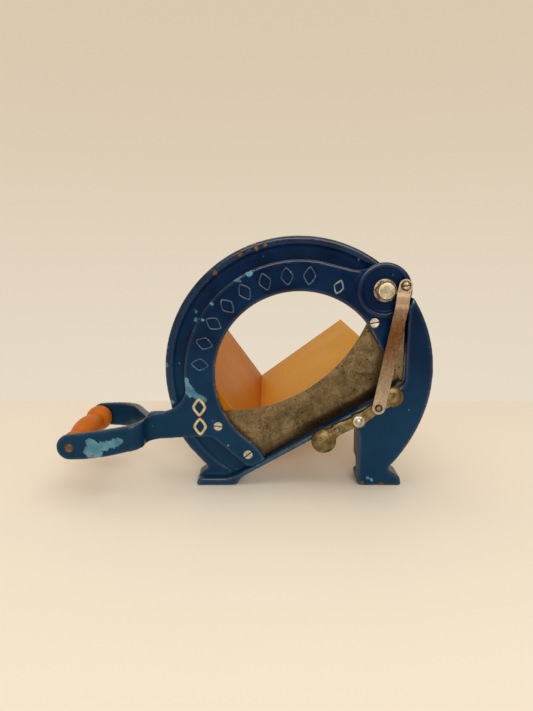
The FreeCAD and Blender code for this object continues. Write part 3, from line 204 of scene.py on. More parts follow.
def pittedCarbonSteel():
    # Rolled carbon steel that has been wet and scoured many times. Grey-brown bloom with drifting
    # stains, black pits up to two millimetres across, and fine scratches along the edge.
    material, tree, shader, place = newMaterial("pittedCarbonSteel", {"Metallic": 0.9})
    drift = add(tree, "TexNoise", {"Scale": perMm(17), "Detail": 7.0, "Roughness": 0.62, "Distortion": 1.4},
                {"Vector": place})
    bloom = add(tree, "TexNoise", {"Scale": perMm(60), "Detail": 3.0}, {"Vector": place})
    both = add(tree, "Math", {"operation": "MULTIPLY_ADD", 1: 0.45, 2: 0.0}, {0: bloom})
    mixed = add(tree, "Math", {"operation": "MULTIPLY_ADD", 1: 0.62}, {0: drift, 2: both})
    scour = add(tree, "TexNoise", {"Scale": perMm(2.0), "Detail": 4.0, "Roughness": 0.8}, {"Vector": place})
    blotched = add(tree, "Math", {"operation": "MULTIPLY_ADD", 1: 0.42, 2: -0.21}, {0: scour})
    mottled = add(tree, "Math", {"operation": "ADD"}, {0: mixed, 1: blotched})
    tone = add(tree, "ValToRGB",
               {"stops": ((0.36, blade["dark"]), (0.52, blade["middle"]), (0.7, blade["light"]))},
               {0: mottled})
    # tide marks: thin bright curls where water dried
    tide = add(tree, "TexNoise", {"Scale": perMm(24), "Detail": 2.0, "Distortion": 2.2}, {"Vector": place})
    curl = add(tree, "Math", {"operation": "SUBTRACT", 1: 0.5}, {0: tide})
    curlLine = add(tree, "Math", {"operation": "ABSOLUTE"}, {0: curl})
    curlMask = add(tree, "MapRange", {**smooth(0.0, 0.022), "To Min": 0.4, "To Max": 0.0},
                   {"Value": curlLine})
    curled = add(tree, "Mix", {"data_type": "RGBA", mixOver: blade["light"]},
                 {mixFactor: curlMask, mixUnder: tone})
    # pits in two sizes; only some cells hold one
    pits = []
    for cell, reach, clean in blade["pits"]:
        dot = add(tree, "TexVoronoi", {"Scale": perMm(cell)}, {"Vector": place})
        chance = add(tree, "SeparateColor", {}, {0: dot.outputs["Color"]})
        limit = add(tree, "MapRange", {"From Min": clean, "From Max": 1.0, "To Max": reach},
                    {"Value": chance})
        room = add(tree, "Math", {"operation": "SUBTRACT"}, {0: limit, 1: dot})
        pits.append(add(tree, "MapRange", smooth(0.0, 0.06), {"Value": room}))
    pitMask = add(tree, "Math", {"operation": "MAXIMUM"}, {0: pits[0], 1: pits[1]})
    spotted = add(tree, "Mix", {"data_type": "RGBA", mixOver: blade["pit"]},
                  {mixFactor: pitMask, mixUnder: curled})
    # painted shade on the ground bevel: an attribute that is 1 along the ground edge and fades upwards makes
    # the lower edge darker
    rim = add(tree, "Attribute", {"attribute_name": "rim"}).outputs["Fac"]
    bevelShadeNoise = add(tree, "Math", {"operation": "MULTIPLY_ADD", 1: 0.9, 2: 0.1}, {0: drift})
    bevelShadeMask = add(tree, "Math", {"operation": "MULTIPLY"}, {0: rim, 1: bevelShadeNoise})
    bevelShaded = add(tree, "Mix", {"data_type": "RGBA", mixOver: blade["bevelShadeTint"]},
                {mixFactor: bevelShadeMask, mixUnder: spotted})
    rough = add(tree, "MapRange", {"From Min": 0.35, "From Max": 0.65, "To Min": 0.58, "To Max": 0.36},
                {"Value": mixed})
    alongEdge = {"Rotation": (0.0, math.radians(blade["edgeSlope"]), 0.0), "Scale": (0.02, 1.0, 1.0)}
    lines = add(tree, "Mapping", alongEdge, {"Vector": place})
    scratch = add(tree, "TexNoise", {"Scale": perMm(0.8), "Detail": 2.0}, {"Vector": lines})
    fine = add(tree, "Bump", {"Strength": 0.25, "Distance": 0.05 * mm}, {"Height": scratch})
    hollows = add(tree, "Bump", {"Strength": 0.7, "Distance": 0.2 * mm, "invert": True},
                  {"Height": pitMask, "Normal": fine})
    feed(tree, shader, {"Base Color": bevelShaded, "Roughness": rough, "Normal": hollows})
    return material


def platedSteel(name, tints, grainMm, dirtAmount, roughness, metallic=1.0, brushed=None, ring=None):
    # Plated or plain steel that has dulled: soft clouds of tarnish, and dark specks where the plating
    # has gone. A mesh attribute multiplies in painted shade and painted reflection. Brushed draws the grain
    # out along a direction, and ring darkens a line round a turned face, and less beyond it. The tints are
    # dark, middle and light metal, then the dirt, which also colours the painted shade and reflection.
    material, tree, shader, place = newMaterial(name, {"Metallic": metallic})
    dark, middle, light, dirtAndShadeTint = tints
    turn, stretch = brushed or (0.0, (1.0, 1.0, 1.0))
    pulled = add(tree, "Mapping", {"Rotation": (0.0, turn, 0.0), "Scale": stretch}, {"Vector": place})
    cloud = add(tree, "TexNoise", {"Scale": perMm(grainMm * 5), "Detail": 5.0, "Roughness": 0.6},
                {"Vector": place})
    brush = add(tree, "TexNoise", {"Scale": perMm(grainMm), "Detail": 4.0, "Roughness": 0.7},
                {"Vector": pulled})
    tone = add(tree, "ValToRGB", {"stops": ((0.32, dark), (0.5, middle), (0.68, light))}, {0: cloud})
    speck = add(tree, "TexVoronoi", {"Scale": perMm(grainMm * 1.6)}, {"Vector": place})
    chance = add(tree, "SeparateColor", {}, {0: speck.outputs["Color"]})
    limit = add(tree, "MapRange", {"From Min": 1.0 - dirtAmount, "From Max": 1.0, "To Max": 0.42},
                {"Value": chance})
    room = add(tree, "Math", {"operation": "SUBTRACT"}, {0: limit, 1: speck})
    dirt = add(tree, "MapRange", smooth(0.0, 0.12), {"Value": room})
    tinted = add(tree, "Mix", {"data_type": "RGBA", mixOver: dirtAndShadeTint}, {mixFactor: dirt, mixUnder: tone})
    strokes = add(tree, "ValToRGB", {"stops": ((0.35, "#9a9a9a"), (0.6, "#ffffff"))}, {0: brush})
    streaked = add(tree, "Mix", {"data_type": "RGBA", "blend_type": "MULTIPLY", mixFactor: 0.5},
                   {mixUnder: tinted, mixOver: strokes})
    # painted shade and painted reflection, carried by a mesh attribute, darken the metal towards the last
    # tint
    tarnish = add(tree, "Attribute", {"attribute_name": "tarnish"}).outputs["Fac"]
    if ring:  # clear inside the radius, dark at it and fainter beyond it
        away = add(tree, "VectorMath", {"operation": "SUBTRACT", 1: ring["centre"]}, {0: place})
        flat = add(tree, "VectorMath", {"operation": "MULTIPLY", 1: (1.0, 0.0, 1.0)}, {0: away})
        reach = add(tree, "VectorMath", {"operation": "LENGTH"}, {0: flat}).outputs["Value"]
        darkens = smooth((ring["radius"] - 0.7) * mm, (ring["radius"] - 0.2) * mm)
        clears = smooth((ring["radius"] + 0.1) * mm, (ring["radius"] + 0.9) * mm)
        outside = add(tree, "MapRange", darkens, {"Value": reach})
        beyond = add(tree, "MapRange", clears, {"Value": reach})
        line = add(tree, "Math", {"operation": "MULTIPLY_ADD", 1: -0.55}, {0: beyond, 2: outside})
        tarnish = add(tree, "Math", {"operation": "MAXIMUM"}, {0: tarnish, 1: line})
    withPaintedShadeAndReflection = add(tree, "Mix", {"data_type": "RGBA", "blend_type": "MULTIPLY", mixOver: dirtAndShadeTint},
                    {mixFactor: tarnish, mixUnder: streaked})
    spread = {"From Min": 0.3, "From Max": 0.7, "To Min": roughness - 0.08, "To Max": roughness + 0.12}
    rough = add(tree, "MapRange", spread, {"Value": cloud})
    relief = add(tree, "Bump", {"Strength": 0.3, "Distance": 0.06 * mm}, {"Height": brush})
    dents = add(tree, "Bump", {"Strength": 0.5, "Distance": 0.12 * mm, "invert": True},
                {"Height": dirt, "Normal": relief})
    feed(tree, shader, {"Base Color": withPaintedShadeAndReflection, "Roughness": rough, "Normal": dents})
    return material


def varnishedBeech(name, tints, pithDrop, ringDepth, coat):
    # Beech under an amber varnish. Straight grain along the trough, growth rings cut as wide bands,
    # and the short dark ray flecks that mark beech. The tints are dark, middle and light wood, then
    # the flecks and the stain.
    material, tree, shader, place = newMaterial(name, {"IOR": 1.5, "Specular IOR Level": 0.06,
                                                       "Coat Weight": coat, "Coat Roughness": 0.3})
    dark, middle, light, fleckTint, stainTint = tints
    centred = add(tree, "Mapping", {"Location": (0.03, 0.0, pithDrop), "Scale": (1.0, 0.06, 1.0)},
                  {"Vector": place})
    ringShape = {"wave_type": "RINGS", "rings_direction": "Y", "Scale": perMm(22), "Distortion": 3.2,
                 "Detail": 3.0, "Detail Scale": 1.2, "Detail Roughness": 0.6}
    rings = add(tree, "TexWave", ringShape, {"Vector": centred})
    fibres = add(tree, "Mapping", {"Scale": (1.0, 0.05, 1.0)}, {"Vector": place})
    fibre = add(tree, "TexNoise", {"Scale": perMm(1.1), "Detail": 5.0, "Roughness": 0.65}, {"Vector": fibres})
    patch = add(tree, "TexNoise", {"Scale": perMm(70), "Detail": 3.0}, {"Vector": place})
    ringPart = add(tree, "Math", {"operation": "MULTIPLY", 1: ringDepth}, {0: rings.outputs["Fac"]})
    fibrePart = add(tree, "Math", {"operation": "MULTIPLY_ADD", 1: 0.3}, {0: fibre, 2: ringPart})
    patchPart = add(tree, "Math", {"operation": "MULTIPLY_ADD", 1: 0.45}, {0: patch, 2: fibrePart})
    tone = add(tree, "ValToRGB", {"stops": ((0.38, dark), (0.56, middle), (0.74, light))}, {0: patchPart})
    flecks = add(tree, "Mapping", {"Scale": (1.0, 0.3, 1.0)}, {"Vector": place})
    fleck = add(tree, "TexVoronoi", {"Scale": perMm(2.3)}, {"Vector": flecks})
    chance = add(tree, "SeparateColor", {}, {0: fleck.outputs["Color"]})
    limit = add(tree, "MapRange", {"From Min": 0.45, "From Max": 1.0, "To Max": 0.2}, {"Value": chance})
    room = add(tree, "Math", {"operation": "SUBTRACT"}, {0: limit, 1: fleck})
    fleckMask = add(tree, "MapRange", smooth(0.0, 0.1), {"Value": room})
    fleckSoft = add(tree, "Math", {"operation": "MULTIPLY", 1: 0.4}, {0: fleckMask})
    flecked = add(tree, "Mix", {"data_type": "RGBA", mixOver: fleckTint},
                  {mixFactor: fleckSoft, mixUnder: tone})
    # dark varnish and crumbs that gather where the attribute is high
    stain = add(tree, "Attribute", {"attribute_name": "stain"}).outputs["Fac"]
    stainNoise = add(tree, "Math", {"operation": "MULTIPLY_ADD", 1: 1.2, 2: -0.1}, {0: patch})
    stainMask = add(tree, "Math", {"operation": "MULTIPLY", "use_clamp": True}, {0: stain, 1: stainNoise})
    stained = add(tree, "Mix", {"data_type": "RGBA", "blend_type": "MULTIPLY", mixOver: stainTint},
                  {mixFactor: stainMask, mixUnder: flecked})
    rough = add(tree, "MapRange", {"From Min": 0.3, "From Max": 0.7, "To Min": 0.36, "To Max": 0.5},
                {"Value": patch})
    pores = add(tree, "Bump", {"Strength": 0.3, "Distance": 0.08 * mm}, {"Height": fibre})
    feed(tree, shader, {"Base Color": stained, "Roughness": rough, "Normal": pores})
    return material


boltRing = {"centre": tuple((low + high) / 2 for low, high in zip(boltLow, boltHigh)), "radius": 8.7}
strapBrush = (math.radians(-10.4), (1.0, 1.0, 0.03))  # the strap leans, and was brushed along its length
finishes = {
    "enamel": stoveEnamel("navyStoveEnamel", 1.0),
    "sheetEnamel": stoveEnamel("navyEnamelOnSheet", 0.5),
    "blade": pittedCarbonSteel(),
    "nickel": platedSteel("wornNickelPlate", ("#8f8063", "#b3a78c", "#d3cab4", "#4d3f2b"), 1.3, 0.3, 0.34),
    "hexNickel": platedSteel("wornNickelOnHexagon", ("#a09277", "#bfb49c", "#d9d1be", "#5d4c34"),
                             1.3, 0.2, 0.4, ring=boltRing),
    "screwSteel": platedSteel("slottedScrewNickel", ("#a69d8a", "#c4bcab", "#dfd9cb", "#5a4c38"),
                              0.9, 0.25, 0.32),
    "plain": platedSteel("plainSteel", ("#6f675a", "#8c8475", "#a8a091", "#3b3126"), 1.2, 0.3, 0.42),
    "strap": platedSteel("brushedSpringSteel", ("#a08d77", "#b09e88", "#c4b39d", "#94673f"),
                         0.5, 0.0, 0.42, brushed=strapBrush),
    "paleMark": platedSteel("rubbedPaleRelief", ("#b8a880", "#cdbf98", "#dccfab", "#8a7a55"),
                            1.1, 0.12, 0.5, 0.1),
    "wornMark": platedSteel("halfBareRelief", ("#16355a", "#6d7f86", "#b9b49c", "#0d2a4c"),
                            0.8, 0.35, 0.5, 0.1),
    "rustyPin": platedSteel("rustyPinSteel", ("#3d2a1b", "#7a5330", "#a98157", "#1d130c"),
                            0.9, 0.4, 0.6, 0.4),
    "rocker": platedSteel("tarnishedCastPlate", ("#54452a", "#786743", "#9c8d66", "#241c11"),
                          1.3, 0.6, 0.42, 0.9),
    "bronze": platedSteel("turnedBronze", ("#80592b", "#a37a42", "#b98f57", "#4b3319"), 1.0, 0.2, 0.35),
    "leftBoard": varnishedBeech("amberBeechLeft", ("#b7731a", "#c38022", "#cc8e2d", "#8f5320", "#d87f20"),
                                0.16, 0.02, 0.0),
    "rightBoard": varnishedBeech("amberBeechRight", ("#ca932c", "#d7a43c", "#e4ba58", "#9a6026", "#d87f20"),
                                 0.11, 0.02, 0.0),
    "grip": varnishedBeech("amberBeechGrip", ("#bb6412", "#cb7318", "#db8a2b", "#8a4a12", "#b2601a"),
                           0.02, 0.05, 0.12),
}
print("stage: finishes made")


def meshObject(name, vertices, faces, material):
    mesh = bpy.data.meshes.new(name)
    mesh.from_pydata(np.asarray(vertices, float).tolist(), [], [list(face) for face in faces])
    mesh.validate()
    mesh.update()
    obj = bpy.data.objects.new(name, mesh)
    bpy.context.scene.collection.objects.link(obj)
    mesh.materials.append(material)
    return obj


def mergedCopy(name, nodeName):  # a CAD node's loose triangles, joined into one closed skin
    mesh = nodes[nodeName].data.copy()
    mesh.name = name
    work = bmesh.new()
    work.from_mesh(mesh)
    bmesh.ops.remove_doubles(work, verts=work.verts, dist=0.002 * mm)
    work.to_mesh(mesh)
    work.free()
    obj = bpy.data.objects.new(name, mesh)
    bpy.context.scene.collection.objects.link(obj)
    return obj


def fit(piece, body, nodeName):  # moves with its body and stands for its CAD node
    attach(piece, body)
    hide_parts(nodeName)


def readPoints(mesh):
    points = np.empty(len(mesh.vertices) * 3)
    mesh.vertices.foreach_get("co", points)
    return points.reshape(-1, 3)


def readNormals(mesh):
    normals = np.empty(len(mesh.vertices) * 3)
    mesh.vertex_normals.foreach_get("vector", normals)
    return normals.reshape(-1, 3)


def edgePairs(mesh):
    pairs = np.empty(len(mesh.edges) * 2, dtype=np.int64)
    mesh.edges.foreach_get("vertices", pairs)
    return pairs.reshape(-1, 2)


def neighbourMean(values, pairs, degree):  # each vertex's neighbours, averaged
    total = np.zeros_like(values)
    for column in range(values.shape[1]):
        total[:, column] = np.bincount(pairs[:, 0], values[pairs[:, 1], column], len(values))
        total[:, column] += np.bincount(pairs[:, 1], values[pairs[:, 0], column], len(values))
    return total / degree[:, None]


def setAttribute(mesh, name, values):
    layer = mesh.attributes.new(name, "FLOAT", "POINT")
    layer.data.foreach_set("value", np.clip(values, 0.0, 1.0).astype(np.float32))


def fixNormals(obj):
    work = bmesh.new()
    work.from_mesh(obj.data)
    bmesh.ops.recalc_face_normals(work, faces=work.faces)
    work.to_mesh(obj.data)
    work.free()


def gridFaces(rows, columns, start=0):  # quads of a grid closed both ways, rows by columns
    i = np.arange(rows)[:, None] * columns
    nextI = (np.arange(rows)[:, None] + 1) % rows * columns
    j = np.arange(columns)[None, :]
    nextJ = (j + 1) % columns
    quads = np.stack([i + j, nextI + j, nextI + nextJ, i + nextJ], 2).reshape(-1, 4)
    return quads + start


def spots(points, places):  # sum of soft round spots: full at each centre, half at its radius
    field = np.zeros(len(points))
    for x, y, z, radius, strength in places:
        centre = np.array(bench(x, y, z))
        gap = np.linalg.norm(points - centre, axis=1) / (radius * mm)
        field += strength * np.exp(-0.7 * gap ** 2)
    return field


def castSkin(name, nodeName, wear, material, relief=None):
    # Casting skin: the CAD solid filled with cells of one size, then each point moved half of the
    # way to the mean of its neighbours, over and over, so that sand-cast edges come out round.
    # Attribute edge = how far a wide blur pulls a point inwards along its normal.
    source = mergedCopy(name + "Blank", nodeName)
    remesh = source.modifiers.new("cast skin", "REMESH")
    remesh.mode = "VOXEL"
    remesh.voxel_size = wear["voxel"] * mm
    remesh.adaptivity = 0.0
    depsgraph = bpy.context.evaluated_depsgraph_get()
    mesh = bpy.data.meshes.new_from_object(source.evaluated_get(depsgraph))
    bpy.data.objects.remove(source)
    mesh.name = name
    points = readPoints(mesh)
    pairs = edgePairs(mesh)
    degree = np.bincount(pairs.ravel(), minlength=len(points)).astype(float)
    for _ in range(wear["rounds"]):
        points += 0.5 * (neighbourMean(points, pairs, degree) - points)
    if relief is not None:
        points = relief(points)
    mesh.vertices.foreach_set("co", points.ravel())
    mesh.update()
    mesh.shade_smooth()
    normals = readNormals(mesh)
    wide = points.copy()
    for _ in range(10):
        wide = neighbourMean(wide, pairs, degree)
    pull = -np.einsum("ij,ij->i", wide - points, normals) / (wear["voxel"] * mm)
    setAttribute(mesh, "edge", pull * 1.1)
    rustField = spots(points, wear.get("rusts", ()))
    for x, z, radius, width, strength in wear.get("rims", ()):
        centre = np.array(bench(x, 0.0, z))
        gap = (np.hypot(points[:, 0] - centre[0], points[:, 2] - centre[2]) / mm - radius) / width
        rustField += strength * np.exp(-gap ** 2) * np.clip(pull * 3.0, 0.0, 1.0)
    setAttribute(mesh, "chip", spots(points, wear.get("chips", ())))
    setAttribute(mesh, "rust", rustField)
    mesh.materials.clear()
    mesh.materials.append(material)
    obj = bpy.data.objects.new(name, mesh)
    bpy.context.scene.collection.objects.link(obj)
    print("stage:", name, len(mesh.polygons) * 2, "triangles")
    return obj


def machined(name, nodeName, bevelMm, material, segments=2, angle=28):
    # A turned, sawn or pressed piece: its flat faces joined, then every sharp edge broken.
    obj = mergedCopy(name, nodeName)
    work = bmesh.new()
    work.from_mesh(obj.data)
    bmesh.ops.dissolve_limit(work, angle_limit=math.radians(0.6), verts=work.verts, edges=work.edges)
    work.to_mesh(obj.data)
    work.free()
    obj.data.shade_smooth()
    obj.data.set_sharp_from_angle(angle=math.radians(angle))
    bevel = obj.modifiers.new("broken edge", "BEVEL")
    bevel.width = bevelMm * mm
    bevel.segments = segments
    bevel.limit_method = "ANGLE"
    bevel.angle_limit = math.radians(angle)
    bevel.use_clamp_overlap = True
    bevel.harden_normals = True
    obj.data.materials.clear()
    obj.data.materials.append(material)
    return obj


# Wear on the castings. A chip or rust spot is across, depth, height and radius in mm, then its
# strength. A rim is a round edge rubbed through to rust: across, height, radius, width and strength.
frameWear = {
    "voxel": 1.25,  # mm
    "rounds": 5,
    "rims": [(0.0, 124.5, 140.0, 1.3, 0.42)],
    "chips": [
        # ring, left side and top
        (-107.3, 11, 187.5, 3.2, 0.75), (-105.4, 11, 179.2, 3.6, 0.85), (-102, 11, 193, 2.2, 0.6),
        (-138.3, 11, 131.4, 2.2, 0.6), (-134.3, 11, 90.9, 2.9, 0.55), (-136, 12, 150, 1.8, 0.6),
        (-118, 14, 190, 2.2, 0.5), (60, 12, 242, 2.9, 0.45),
        # right leg and its foot, left foot
        (112.3, 1, 36.8, 2.9, 0.6), (120, 0, 50, 2.2, 0.5), (127, 4, 64, 1.8, 0.5), (80.9, 0, 6.4, 2.9, 0.62),
        (75.5, 0, 9, 2.2, 0.6), (98, 0, 7, 2.9, 0.5), (-94.1, 8, 19.0, 1.8, 0.7),
    ],
    "rusts": [
        # the band rubbed by hands on the ring's upper left, then the rest of the ring
        (-86, 10, 227.1, 3.6, 0.68), (-73.6, 10, 236.3, 2.6, 0.56), (-60, 10, 245.6, 3.4, 0.66),
        (-52.3, 10, 249.5, 3, 0.62), (-43.4, 10, 252.4, 3.8, 0.7), (-34.8, 10, 255.3, 2.8, 0.62),
        (-92.9, 10, 218.9, 2.4, 0.56), (138.2, 4, 98.7, 5, 0.62), (140.0, 8, 112, 5.8, 0.5),
        (133, 4, 82, 5.8, 0.5), (-133, 12, 100, 2.2, 0.7), (-127, 12, 168, 1.8, 0.6),
        # legs and feet
        (117.4, 0, 44, 3.6, 0.72), (112.5, 2, 1.5, 4.3, 0.8), (90, 2, 0.5, 5.8, 0.6), (70, 2, 2, 4.3, 0.75),
        (110.9, 20, 0, 6.5, 0.7), (-107.2, 12, 1, 3.6, 0.7), (-90, 4, 0.5, 5.8, 0.45), (-67, 4, 1, 3.6, 0.6),
        (64.7, 2, 40, 2.9, 0.5), (64.5, 2, 22, 3.6, 0.6),
    ],
}
armWear = {
    "voxel": 1.0,
    "rounds": 6,
    "rims": [(1.0, 121.5, 88.4, 1.2, 0.55)],
    "chips": [
        # sickle
        (-49.7, -1, 226.9, 3.6, 0.7), (-60, -1, 221, 3.6, 0.55), (-98, -1, 181, 2.5, 0.55),
        (-88, -1, 196, 2.9, 0.5), (-116.1, -1, 110.2, 3.6, 0.85), (-111.1, -1, 103.8, 4.7, 0.95),
        (-104, -1, 99, 4, 0.9), (-98, -1, 96.2, 2.9, 0.72), (-115.9, -1, 117.7, 2.5, 0.75),
        (-74.2, -1, 46.6, 2.2, 0.55),
        # near arm of the stirrup, where it is gripped
        (-211.0, -30, 60.5, 4.3, 0.85), (-205.5, -30, 52.0, 6.1, 1.0), (-213.7, -30, 49.9, 4.3, 0.85),
        (-196.5, -30, 56.5, 4.7, 0.85), (-187, -30, 59.0, 4.7, 0.95), (-181, -30, 61.5, 3.2, 0.8),
        (-206, -30, 46, 2.9, 0.75), (-172, -27, 63, 2.2, 0.62), (-168, -24, 70, 2.2, 0.6),
    ],
    "rusts": [
        (-233.6, -30, 55.2, 3, 0.75), (-209, -30, 45.5, 2.2, 0.7), (-246, -27, 56, 2.9, 0.5),
        (-214, -29, 43, 2.9, 0.5), (-107, -1, 97, 1.9, 0.7), (-103, -1, 93, 1.6, 0.7),
        (-70, -1, 60, 1.4, 0.5),
    ],
}
rockerWear = {"voxel": 0.55, "rounds": 5}
dimple = {"place": (93, -1.5, 227), "radius": 2.2, "depth": 0.9, "reach": 2.5}


def bossDimple(points):  # a drill mark on the boss: points near its centre sink by a cosine bell
    centre = np.array(bench(*dimple["place"]))
    gap = np.linalg.norm((points - centre)[:, (0, 2)], axis=1) / (dimple["radius"] * mm)
    near = (gap < 1) & (np.abs(points[:, 1] - centre[1]) < dimple["reach"] * mm)
    points[near, 1] += dimple["depth"] * mm * (0.5 + 0.5 * np.cos(np.pi * gap[near]))
    return points


frameSkin = castSkin("ringFrameCasting", "frame", frameWear, finishes["enamel"])
fit(frameSkin, "root", "frame")
armSkin = castSkin("sickleArmCasting", "cutting_arm", armWear, finishes["enamel"], bossDimple)
fit(armSkin, "arm", "cutting_arm")
rockerSkin = castSkin("rockerCasting", "thickness_rocker", rockerWear, finishes["rocker"])
fit(rockerSkin, "rocker", "thickness_rocker")

lozenges = {
    "centre": (1.0, 121.5),  # the sickle's centre: across and height in mm, as all sizes here
    "radius": 104.0,  # from that centre to the middle of the row
    "turns": np.linspace(85.0, 173.0, 8),  # degrees round the centre
    "long": 8.6,  # half diagonals
    "short": 6.0,
    "bead": 1.1,  # half width of the bead
    "broadBead": 1.65,
    "rise": 1.4,
    "front": -0.95,  # depth of the face that the beads stand on
    "crest": 1.5,  # where the beads stand further forward than this they are rubbed pale, partly wear and partly painted highlight, and further back they take painted shade
    "pale": ((-103.9, 88.4, 90.0, 1.0), (-103.4, 67.2, 90.0, 0.98)),  # across, height, turn, scale
    "worn": ((39.5, 214.0, 69.0, 0.78),),
}


def lozengeBead(centre, turn, scale, bead):
    # Path: |u/a|^1.25 + |v/b|^1.25 = 1, a lozenge with soft corners. Profile: half an ellipse of
    # the bead's width that stands proud of the face and dips a little under it.
    along = np.linspace(0, 2 * np.pi, 72, endpoint=False)
    across = np.linspace(0, 2 * np.pi, 14, endpoint=False)
    power = 2 / 1.25
    u = lozenges["long"] * scale * np.sign(np.cos(along)) * np.abs(np.cos(along)) ** power
    v = lozenges["short"] * scale * np.sign(np.sin(along)) * np.abs(np.sin(along)) ** power
    centreLine = np.stack([u, v], 1)
    tangent = np.roll(centreLine, -1, 0) - np.roll(centreLine, 1, 0)
    tangent /= np.linalg.norm(tangent, axis=1, keepdims=True)
    outward = np.stack([tangent[:, 1], -tangent[:, 0]], 1)
    flat = centreLine[:, None, :] + bead * np.cos(across)[None, :, None] * outward[:, None, :]
    depth = -lozenges["rise"] * np.maximum(np.sin(across), -0.5)
    c, s = math.cos(turn), math.sin(turn)
    x = benchX + (centre[0] + flat[..., 0] * c - flat[..., 1] * s) * mm
    z = (centre[1] + flat[..., 0] * s + flat[..., 1] * c) * mm
    y = benchY + (lozenges["front"] + np.broadcast_to(depth, flat.shape[:2])) * mm
    return np.stack([x, y, z], 2)


def lozengeRow(name, marks, bead, material):  # all the beads of a row become one piece
    points, faces = [], []
    for x, z, turn, scale in marks:
        grid = lozengeBead((x, z), math.radians(turn), scale, bead)
        faces.append(gridFaces(*grid.shape[:2], sum(len(part) for part in points)))
        points.append(grid.reshape(-1, 3))
    piece = meshObject(name, np.concatenate(points), np.concatenate(faces), material)
    fixNormals(piece)
    piece.data.shade_smooth()
    crest = np.clip((benchY - lozenges["crest"] * mm - readPoints(piece.data)[:, 1]) / (0.4 * mm), 0, 1)
    # On the crests the edge value paints a pale rub, partly wear and partly painted highlight; off the crests
    # the second value is painted shade down the beads' flanks.
    setAttribute(piece.data, "edge", 0.15 + 0.75 * crest)
    setAttribute(piece.data, "tarnish", 1.0 - crest)
    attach(piece, "arm")


def rowMark(turn):  # a lozenge of the row: its place on the circle, pointing outwards, full size
    x, z = lozenges["centre"]
    reach = lozenges["radius"]
    return (x + reach * math.cos(math.radians(turn)), z + reach * math.sin(math.radians(turn)), turn, 1.0)


rowMarks = [rowMark(turn) for turn in lozenges["turns"]]
lozengeRow("lozengeRelief", rowMarks, lozenges["bead"], finishes["enamel"])
lozengeRow("paleLozenges", lozenges["pale"], lozenges["broadBead"], finishes["paleMark"])
lozengeRow("wornLozenge", lozenges["worn"], lozenges["bead"], finishes["wornMark"])
print("stage: lozenge relief")

# Painted shade on the ground bevel: the blade darkens towards its ground edge by exp(-d / reach), d =
# distance above the edge's line.
bladeSkin = machined("curvedBlade", "blade", 0.12, finishes["blade"], 1)
bladePoints = readPoints(bladeSkin.data)
slope = math.radians(blade["edgeSlope"])
edgeHeights = blade["edgeHeight"] + (bladePoints[:, 0] - benchX) / mm * math.tan(slope)
aboveEdge = (bladePoints[:, 2] / mm - edgeHeights) * math.cos(slope)
setAttribute(bladeSkin.data, "rim", np.exp(-np.maximum(aboveEdge, 0) / blade["bevelShadeReach"]))
fit(bladeSkin, "arm", "blade")


def levelCuts(mesh, step):  # level edges round a tall piece every few millimetres, to carry a map
    work = bmesh.new()
    work.from_mesh(mesh)
    heights = [vertex.co.z for vertex in work.verts]
    for height in np.arange(min(heights) + step * mm, max(heights), step * mm):
        everything = work.verts[:] + work.edges[:] + work.faces[:]
        bmesh.ops.bisect_plane(work, geom=everything, dist=1e-7, plane_co=(0.0, 0.0, height),
                               plane_no=(0.0, 0.0, 1.0))
    work.to_mesh(mesh)
    work.free()


def strapPaintedReflection(mesh):  # a painted reflection: a brown band, a half sine wave up the strap, its peak a little above the middle
    levelCuts(mesh, 6.0)
    heights = readPoints(mesh)[:, 2]
    share = (heights - heights.min()) / np.ptp(heights)
    wave = np.sin(math.pi * np.clip((share - 0.05) / 0.9, 0, 1) ** 1.35)
    return 0.95 * np.clip(wave, 0, 1)


def slotShade(mesh):  # painted shade in the slots: points deeper than 0.3 mm under the heads' front
    depths = readPoints(mesh)[:, 1]
    return (depths - depths.min()) / mm - 0.3


# Painted shade in the screw slots and a painted reflection up the strap, kept as an attribute on each piece.
shadeAndReflectionMaps = {"linkStrap": strapPaintedReflection, "bladeScrews": slotShade, "linkScrew": slotShade}
hardware = [  # piece, CAD node, body, slot, finish, width of the broken edge in mm
    ("pivotHexBolt", "pivot_bolt", "root", "worn_nickel", "hexNickel", 0.3),
    ("pivotWasher", "pivot_washer", "root", "worn_nickel", "nickel", 0.2),
    ("pivotSpacer", "pivot_spacer", "root", "plain_steel", "plain", 0.2),
    ("pivotNutWasher", "pivot_nut_washer", "root", "plain_steel", "plain", 0.2),
    ("pivotNut", "pivot_nut", "root", "plain_steel", "plain", 0.5),
    ("pivotBush", "pivot_bush", "arm", "bronze", "bronze", 0.2),
    ("bladeScrews", "blade_screws", "arm", "worn_nickel", "screwSteel", 0.15),
    ("linkScrew", "link_screw", "arm", "worn_nickel", "nickel", 0.25),
    ("linkSpacer", "link_spacer", "arm", "plain_steel", "plain", 0.2),
    ("linkStrap", "link_strap", "link", "spring_steel", "strap", 0.25),
    ("linkPin", "link_pin", "rocker", "plain_steel", "plain", 0.25),
    ("spareLinkPin", "spare_pin", "rocker", "plain_steel", "plain", 0.25),
    ("rockerPivotPin", "rocker_pin", "root", "worn_nickel", "screwSteel", 0.2),
    ("rockerWasher", "rocker_washer", "root", "plain_steel", "plain", 0.2),
    ("rockerNutWasher", "rocker_nut_washer", "root", "plain_steel", "plain", 0.15),
    ("rockerNut", "rocker_nut", "root", "plain_steel", "plain", 0.4),
    ("gripPin", "grip_pin", "arm", "plain_steel", "rustyPin", 0.2),
    ("gripWashers", "grip_washers", "arm", "plain_steel", "plain", 0.15),
    ("troughScrews", "trough_screws", "root", "plain_steel", "plain", 0.9),
    ("legScrews", "leg_screws", "root", "plain_steel", "plain", 0.9),
    ("boardNails", "board_nails", "root", "plain_steel", "plain", 0.2),
]
